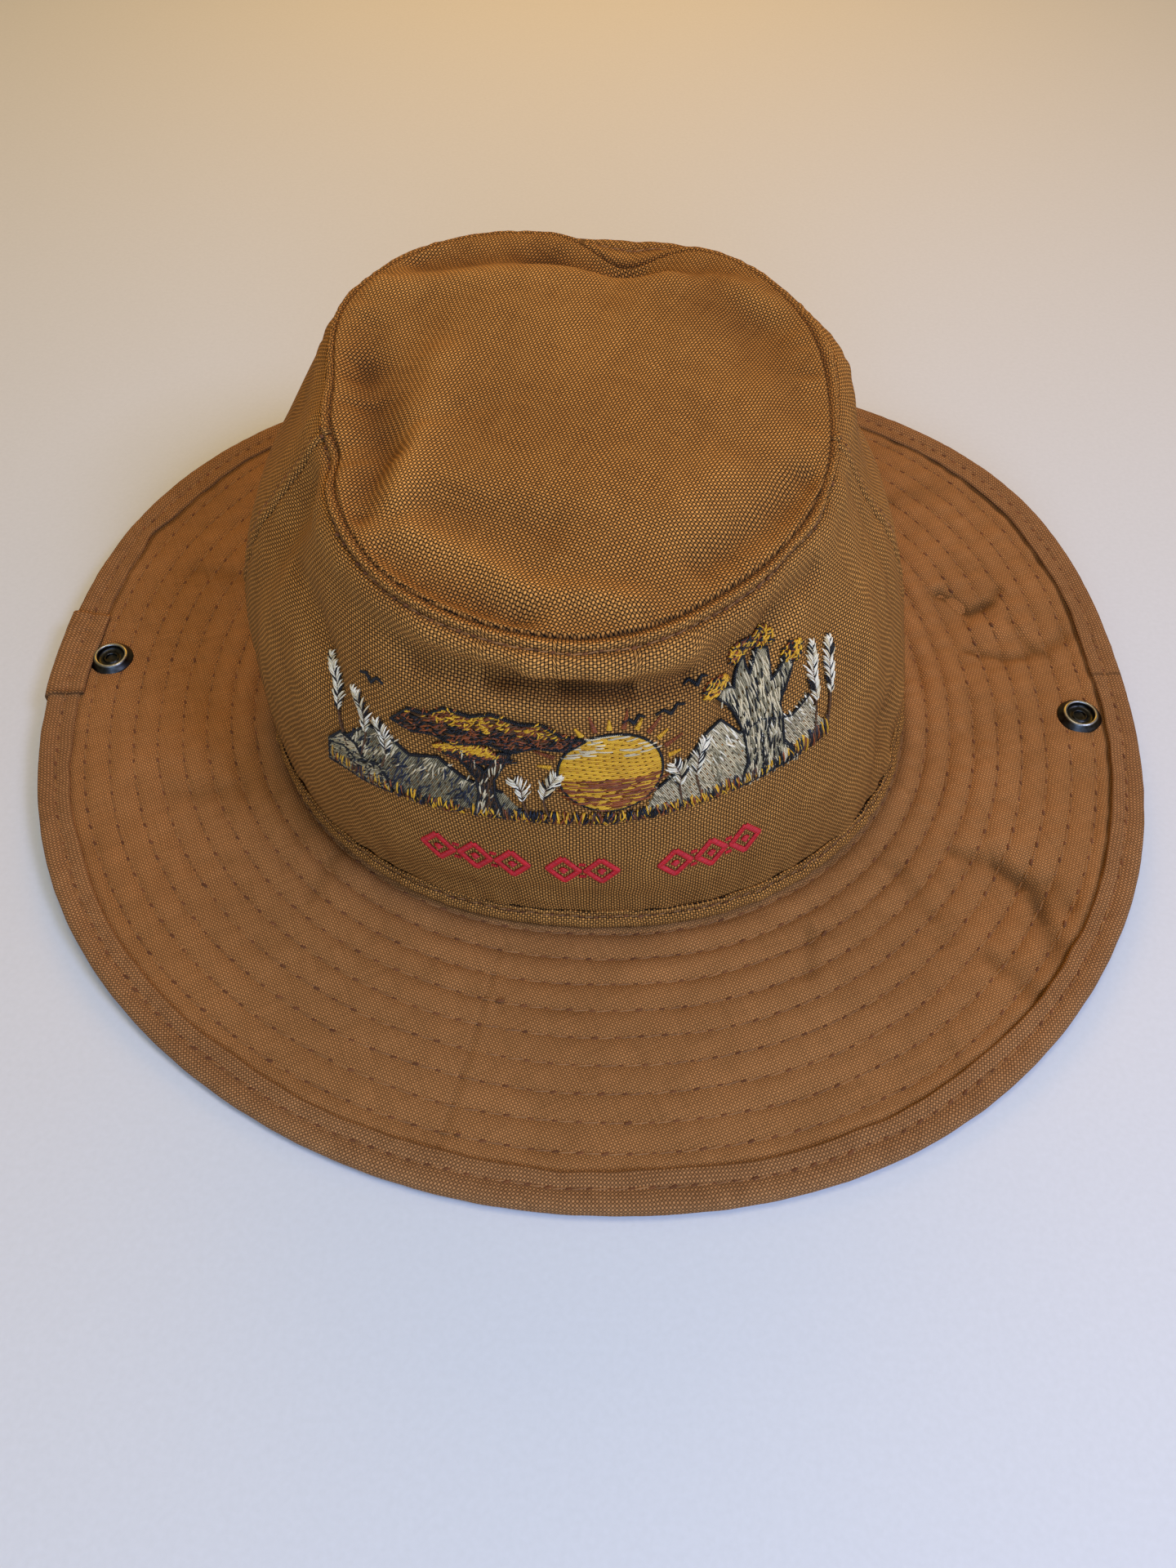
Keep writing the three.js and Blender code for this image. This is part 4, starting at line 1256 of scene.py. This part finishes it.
def stitch(shade, start, end, level, width=0.42):
    threads.setdefault(shade, []).append([*start, *end, level, width])


def crossings(shape, y):
    """Where a level line meets a closed outline."""
    found = []
    for (x0, y0), (x1, y1) in zip(shape, np.roll(shape, -1, 0)):
        if (y0 > y) != (y1 > y):
            found.append(x0 + (y - y0) * (x1 - x0) / (y1 - y0))
    return sorted(found)


def turned_by(points, degrees):
    cos, sin = np.cos(degrees * DEGREE), np.sin(degrees * DEGREE)
    return np.asarray(points, float) @ np.array([[cos, sin], [-sin, cos]])


def fill(shade, shape, angle, level, spacing=0.4, length=5.0):
    """Close parallel stitches that cover a shape, laid like bricks."""
    flat = turned_by(shape, -angle)
    for k, y in enumerate(np.arange(flat[:, 1].min() + spacing / 2, flat[:, 1].max(), spacing)):
        ends = crossings(flat, y)
        for left, right in zip(ends[::2], ends[1::2]):
            left, right = left - chance.uniform(0, 0.25), right + chance.uniform(0, 0.25)
            cuts = np.arange(left - length * (0.37 * k % 1), right, length)
            cuts = [left, *[c for c in cuts if left + 1 < c < right - 1], right]
            for a, b in zip(cuts, cuts[1:]):
                start, end = turned_by([(a - 0.1, y), (b + 0.1, y)], angle)
                stitch(shade, start, end, level)


def inside(shape, x, y):
    return sum(c < x for c in crossings(shape, y)) % 2 == 1


def shading(shade, shape, count, angle, spread, length, level, low=0.0, high=1.0):
    """Loose stitches over a shape, between two shares of its height."""
    shape = np.asarray(shape, float)
    (x0, y0), (x1, y1) = shape.min(0), shape.max(0)
    for _ in range(count):
        x, y = chance.uniform(x0, x1), y0 + (y1 - y0) * chance.uniform(low, high)
        if inside(shape, x, y):
            way = (angle + chance.normal() * spread) * DEGREE
            half = 0.5 * length * chance.uniform(0.6, 1.3) * np.array([np.cos(way), np.sin(way)])
            stitch(shade, (x, y) - half, (x, y) + half, level + chance.uniform(0, 0.12))


def resampled(path, spacing):
    path = np.asarray(path, float)
    length = np.append(0, np.cumsum(np.hypot(*np.diff(path, axis=0).T)))
    at = np.linspace(0, length[-1], max(2, int(round(length[-1] / spacing)) + 1))
    return np.stack([np.interp(at, length, path[:, 0]), np.interp(at, length, path[:, 1])], 1)


def satin(shade, path, start_width, end_width, level, spacing=0.36):
    """A raised bar of stitches across a path."""
    line = resampled(path, spacing)
    run = np.gradient(line, axis=0)
    across = np.stack([-run[:, 1], run[:, 0]], 1) / (np.hypot(*run.T)[:, None] + 1e-9)
    for k, (place, way) in enumerate(zip(line, across)):
        half = 0.5 * (start_width + (end_width - start_width) * k / (len(line) - 1))
        slant = 0.12 * np.array([way[1], -way[0]])
        stitch(shade, place - way * half - slant, place + way * half + slant, level)


def outlined(shade, path, level, closed=True, width=0.8):
    """Narrow satin cord along a path."""
    satin(shade, [*path, path[0]] if closed else path, width, width, level, 0.4)


def plume(path, tall):
    """Ear of tall grass: a thin stem with fine pale stitches that sweep up from it."""
    line = resampled(path, 0.55)
    outlined("brown", line[::4], 0.72, closed=False, width=0.55)
    run = np.gradient(line, axis=0)
    for k, (place, way) in enumerate(zip(line, run)):
        up = (k / len(line) - 1 + tall) / tall
        if up < 0:
            continue
        far = 3.4 * np.sin(np.pi * min(1, 0.12 + 0.84 * up)) ** 0.7
        for side in (-1, 1):
            lean = turned_by([way / np.hypot(*way)], side * (30 + 14 * chance.random()))[0]
            shade = ("white", "white", "cream", "white", "black")[chance.integers(5)]
            stitch(shade, place - 0.3 * lean, place + far * (0.75 + 0.5 * chance.random()) * lean,
                   0.8 + 0.15 * chance.random(), 0.36)


def pairs(numbers):
    return np.array(numbers, float).reshape(-1, 2)


def draw_picture():
    shapes = {name: pairs(numbers) for name, numbers in SHAPES.items()}
    # The sun stands behind the hills, with rays above it.
    turn = np.linspace(0, 2 * np.pi, 40)[:-1]
    middle = np.array([7, 13])
    sun = middle + 11.5 * np.stack([np.cos(turn), np.sin(turn)], 1)
    fill("yellow", sun, 0, 0.16)
    outlined("black", sun, 0.34, width=0.7)
    shading("rust", sun, 150, 0, 4, 4.5, 0.3, 0.0, 0.42)
    shading("cream", sun, 60, 0, 4, 3.5, 0.3, 0.7, 1.0)
    for k in range(13):
        way = (8 + 13.6 * k) * DEGREE
        out = np.array([np.cos(way), np.sin(way)])
        shade, far = ("rust", 17.6) if k % 2 else ("yellow", 15.8)
        satin(shade, [middle + 13.2 * out, middle + far * out], 1.5, 0.5, 0.3)
    # Hills: close fill, then light and dark strokes down their slopes.
    for name, base, light, dark, angle in (("far_hill", "grey", "cream", "navy", 62),
                                           ("near_hill", "cream", "white", "grey", 118)):
        hill = shapes[name]
        fill(base, hill, angle, 0.3)
        shading(light, hill, 130, angle, 14, 3.2, 0.46, 0.45, 1.0)
        shading(dark, hill, 170, angle, 16, 3.4, 0.46, 0.0, 0.75)
        outlined("black", hill[1:-1], 0.62, closed=False)
    # Flat-topped thorn tree.
    for name in ("low_canopy", "canopy"):
        crown = shapes[name]
        fill("brown", crown, 8, 0.5)
        shading("rust", crown, 420, 24, 26, 2.3, 0.66)
        shading("yellow", crown, 190, 30, 26, 2.0, 0.76, 0.45, 1.0)
        shading("black", crown, 240, 14, 24, 2.3, 0.72, 0.0, 0.5)
    outlined("black", shapes["canopy"], 0.88)
    fill("brown", shapes["trunk"], 84, 0.62)
    shading("cream", shapes["trunk"], 60, 82, 8, 3.4, 0.8)
    shading("black", shapes["trunk"], 90, 82, 8, 3.4, 0.8)
    outlined("black", shapes["trunk"], 0.9)
    # Bottle tree with short boughs.
    baobab = shapes["baobab"]
    fill("grey", baobab, 88, 0.5)
    shading("cream", baobab, 330, 88, 9, 3.6, 0.66)
    shading("black", baobab, 170, 88, 9, 3.4, 0.74, 0.0, 0.8)
    outlined("black", baobab, 0.86)
    for x, y, far in ((33, 27, 3.6), (42, 31, 4.2), (50, 29, 3.6), (56.5, 23.5, 3.2)):
        leaves = np.stack([x + far * np.cos(turn), y + 0.62 * far * np.sin(turn)], 1)
        fill("rust", leaves, 15, 0.6)
        shading("yellow", leaves, 50, 30, 30, 1.8, 0.76)
        shading("black", leaves, 34, 20, 30, 1.8, 0.78)
    # Boulders and plumes of tall grass at both ends.
    stones = shapes["boulders"]
    fill("cream", stones, 20, 0.6)
    shading("grey", stones, 120, 25, 18, 3.0, 0.74, 0.0, 0.7)
    shading("black", stones, 60, 60, 20, 2.6, 0.76, 0.0, 0.6)
    outlined("black", stones, 0.88)
    outlined("black", pairs((-60.5, 4, -56, 5.5, -52.5, 3.5, -50, 4.5)), 0.9, closed=False)
    for numbers, tall in (
        ((-55, 6, -58, 13, -59.5, 20, -63, 26), 0.62),
        ((-51, 5, -49.5, 12, -50, 18, -53, 23), 0.6),
        ((-46, 3, -44, 9, -44, 14, -46, 18), 0.6),
        ((27, 0, 26, 6, 27, 11, 29.5, 15), 0.62),
        ((22.5, 0, 22, 4, 22.5, 8, 21, 12), 0.62),
        ((58, 0, 60, 9, 60.5, 16, 63, 22), 0.6),
        ((62, -1, 65, 8, 66.5, 15, 69, 20), 0.6),
        ((-7, 0, -8, 5, -7, 9, -4.5, 13), 0.62),
        ((-11.5, 0, -12.5, 4, -12.5, 7.5, -14, 10.5), 0.62),
    ):
        plume(pairs(numbers), tall)
    # Grass along the ground, longest at the ends.
    for k in range(620):
        x = chance.uniform(-60, 62)
        tall = chance.uniform(1.6, 4.2) + 2.2 * (abs(x) / 60) ** 3
        lean = chance.normal() * 0.9
        shade = ("black", "yellow", "brown", "black", "navy", "yellow", "rust")[k % 7]
        root = -3.2 + chance.uniform(0, 1.2)
        stitch(shade, (x, root), (x + lean, -2.6 + tall), chance.uniform(0.7, 1.0))
    # Birds far off.
    for x, y, wing in ((21, 26, 3.4), (28.5, 29.5, 2.8), (-48, 27.5, 3.2), (12.5, 26.5, 2.4)):
        satin("black", pairs((x - wing, y + 1.1, x - wing * 0.45, y + 1.5, x, y)), 0.5, 1.1, 0.4)
        satin("black", pairs((x, y, x + wing * 0.5, y + 1.7, x + wing, y + 1.0)), 1.1, 0.5, 0.4)


def draw_ornament():
    """Three groups of lozenges with beads between them."""
    for first, count in ((-33.5, 3), (-4.6, 2), (20.8, 3)):
        for k in range(count):
            x, y = first + 8.6 * k, 4.6
            lozenge = [(x, y - 4.9), (x + 3.6, y), (x, y + 4.9), (x - 3.6, y), (x, y - 4.9)]
            for a, b in zip(lozenge, lozenge[1:]):
                satin("red_row", [a, b], 1.7, 1.7, 0.42, 0.34)
            fill("red_row", pairs((x, y - 1.3, x + 1.1, y, x, y + 1.3, x - 1.1, y)), 0, 0.42)
            if k < count - 1:
                for bead in (y - 2.6, y + 2.6):
                    satin("red_row", [(x + 4.3 - 0.6, bead), (x + 4.3 + 0.6, bead)], 1.2, 1.2, 0.3)


def embroidered(name, rows, material, place):
    """A piece of stitches on the front, each a flat-bottomed arch that dives in at its ends. Its
    points are the start, three rings of four places across the thread, and the end."""
    rows = np.array(rows, float)
    along = np.array([0, 0.12, 0.5, 0.88, 1.0])
    arch = np.array([-0.25, 0.7, 1.0, 0.7, -0.25])
    over, up = np.array([-1, -0.45, 0.45, 1]), np.array([-0.12, 0.16, 0.16, -0.12])
    start, end, level, width = rows[:, None, 0:2], rows[:, None, 2:4], rows[:, 4:5], rows[:, 5:6]
    flat = start + (end - start) * along[None, :, None]
    angle, share = place(flat[..., 0], flat[..., 1])
    normal = normal_of(side_point, angle, share)
    spine = side_point(angle, share) + side_relief(angle, share)[..., None] * normal
    run = spine[:, -1:] - spine[:, :1]
    side = np.cross(normal, run)
    side /= np.linalg.norm(side, axis=-1, keepdims=True) + 1e-9
    rise = np.where(arch > 0, level * arch, arch)
    spine = spine + rise[..., None] * normal
    half = 0.5 * width[:, None, None, :]
    ring = spine[:, 1:4, None, :] + half * side[:, 1:4, None, :] * over[:, None]
    ring = ring + normal[:, 1:4, None, :] * up[:, None]
    count, last = len(rows), 13
    points = np.concatenate([spine[:, :1], ring.reshape(count, 12, 3), spine[:, 4:]], 1)
    one = []
    for i in range(4):
        j = (i + 1) % 4
        one += [(0, 1 + i, 1 + j), (last, 9 + j, 9 + i)]
        one += [(k + i, k + 4 + i, k + 4 + j, k + j) for k in (1, 5)]
    faces = [tuple((last + 1) * n + v for v in face) for n in range(count) for face in one]
    piece = mesh_object(name, points, faces)
    set_attribute(piece.data, "tone", np.repeat(chance.uniform(0, 1, count), last + 1))
    piece.data.materials.append(material)
    return piece


THREAD_SHADES = {
    "black": ("#1A1715", "#0A0909"),
    "grey": ("#AE9A70", "#5E523A"),
    "cream": ("#EBD09E", "#B39E79"),
    "yellow": ("#F2B62A", "#C28414"),
    "rust": ("#A1501F", "#642E12"),
    "white": ("#FFEBCB", "#DDCCA6"),
    "navy": ("#262B3B", "#12151F"),
    "brown": ("#6E4724", "#412814"),
    "red_row": ("#E0262A", "#AE1A1E"),
}
draw_picture()
draw_ornament()
embroidery = []
for shade, (light, dark) in THREAD_SHADES.items():
    thread = spun_thread("rayon_embroidery_thread_" + shade, light, dark, 0.42, 900.0)
    place = in_row if shade == "red_row" else on_front
    embroidery.append(embroidered("embroidery_" + shade, threads[shade], thread, place))

# ------------------------------------------------------------------ floor, light, camera


def studio():
    half = 1.6
    corners = [(-half, -half), (half, -half), (half, half), (-half, half)]
    mesh = bpy.data.meshes.new("floor")
    mesh.from_pydata([(x, y, -0.0002) for x, y in corners], [], [(0, 1, 2, 3)])
    mesh.materials.append(matt_paper("studio_paper_matt"))
    new_object("floor", mesh)
    lamps = (
        ("key_softbox", (0.56, -0.42, 0.78), 0.25, 6.0, "#B0C6FF"),
        ("top_softbox", (0.0, 0.0, 1.05), 0.35, 2.9, "#F8EDCF"),
        ("window_softbox", (0.0, -0.8, 0.42), 0.4, 4.7, "#9CC4FF"),
        ("warm_softbox", (0.0, 0.75, 0.55), 0.45, 2.6, "#FFBC27"),
        ("right_softbox", (0.85, -0.1, 0.65), 0.3, 0.25, "#FFE1CE"),
    )
    for name, place, size, power, tint in lamps:
        light = bpy.data.lights.new(name, "AREA")
        light.size, light.energy, light.color = size, power, colour(tint)[:3]
        lamp = new_object(name, light)
        lamp.location = place
        aim = Vector((0, 0, 0.03)) - Vector(place)
        lamp.rotation_euler = aim.to_track_quat("-Z", "Y").to_euler()
    world = bpy.data.worlds.new("studio")
    bpy.context.scene.world = world
    world.use_nodes = True
    background = world.node_tree.nodes["Background"]
    background.inputs["Color"].default_value = colour("#FFF1B8")
    background.inputs["Strength"].default_value = 0.26
    bpy.context.scene.view_settings.view_transform = "Standard"


def camera():
    """Looks down at the hat's front from close by."""
    pitch, roll = 52 * DEGREE, 0.6 * DEGREE
    view = bpy.data.cameras.new("camera")
    view.lens, view.sensor_width = 27.06, 36
    holder = new_object("camera", view)
    holder.location = placed(np.array([-0.382, -248.465, 271.35]))
    ahead = np.array([0, np.cos(pitch), -np.sin(pitch)])
    right = np.array([1.0, 0, 0])
    up = np.cross(right, ahead)
    across = right * np.cos(roll) + up * np.sin(roll)
    upward = -right * np.sin(roll) + up * np.cos(roll)
    turn = np.stack([across, upward, -ahead], 1)
    holder.rotation_euler = Matrix(turn.tolist()).to_euler()
    bpy.context.scene.camera = holder


studio()
camera()

# ------------------------------------------------------------------ the pieces and the frame

stands_for = {
    tip: "crown_tip", side_front: "crown_side_front", side_back: "crown_side_back",
    strip: "crown_band", brim_top: "brim_top", brim_under: "brim_under", tape: "rim_binding",
    fasteners["snap_left"]: "snap_left", fasteners["snap_right"]: "snap_right",
}
for piece, node in stands_for.items():
    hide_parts(node)
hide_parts("rim_binding")
for piece in [*stands_for, lap, *stitches, *embroidery]:
    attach(piece, "root")
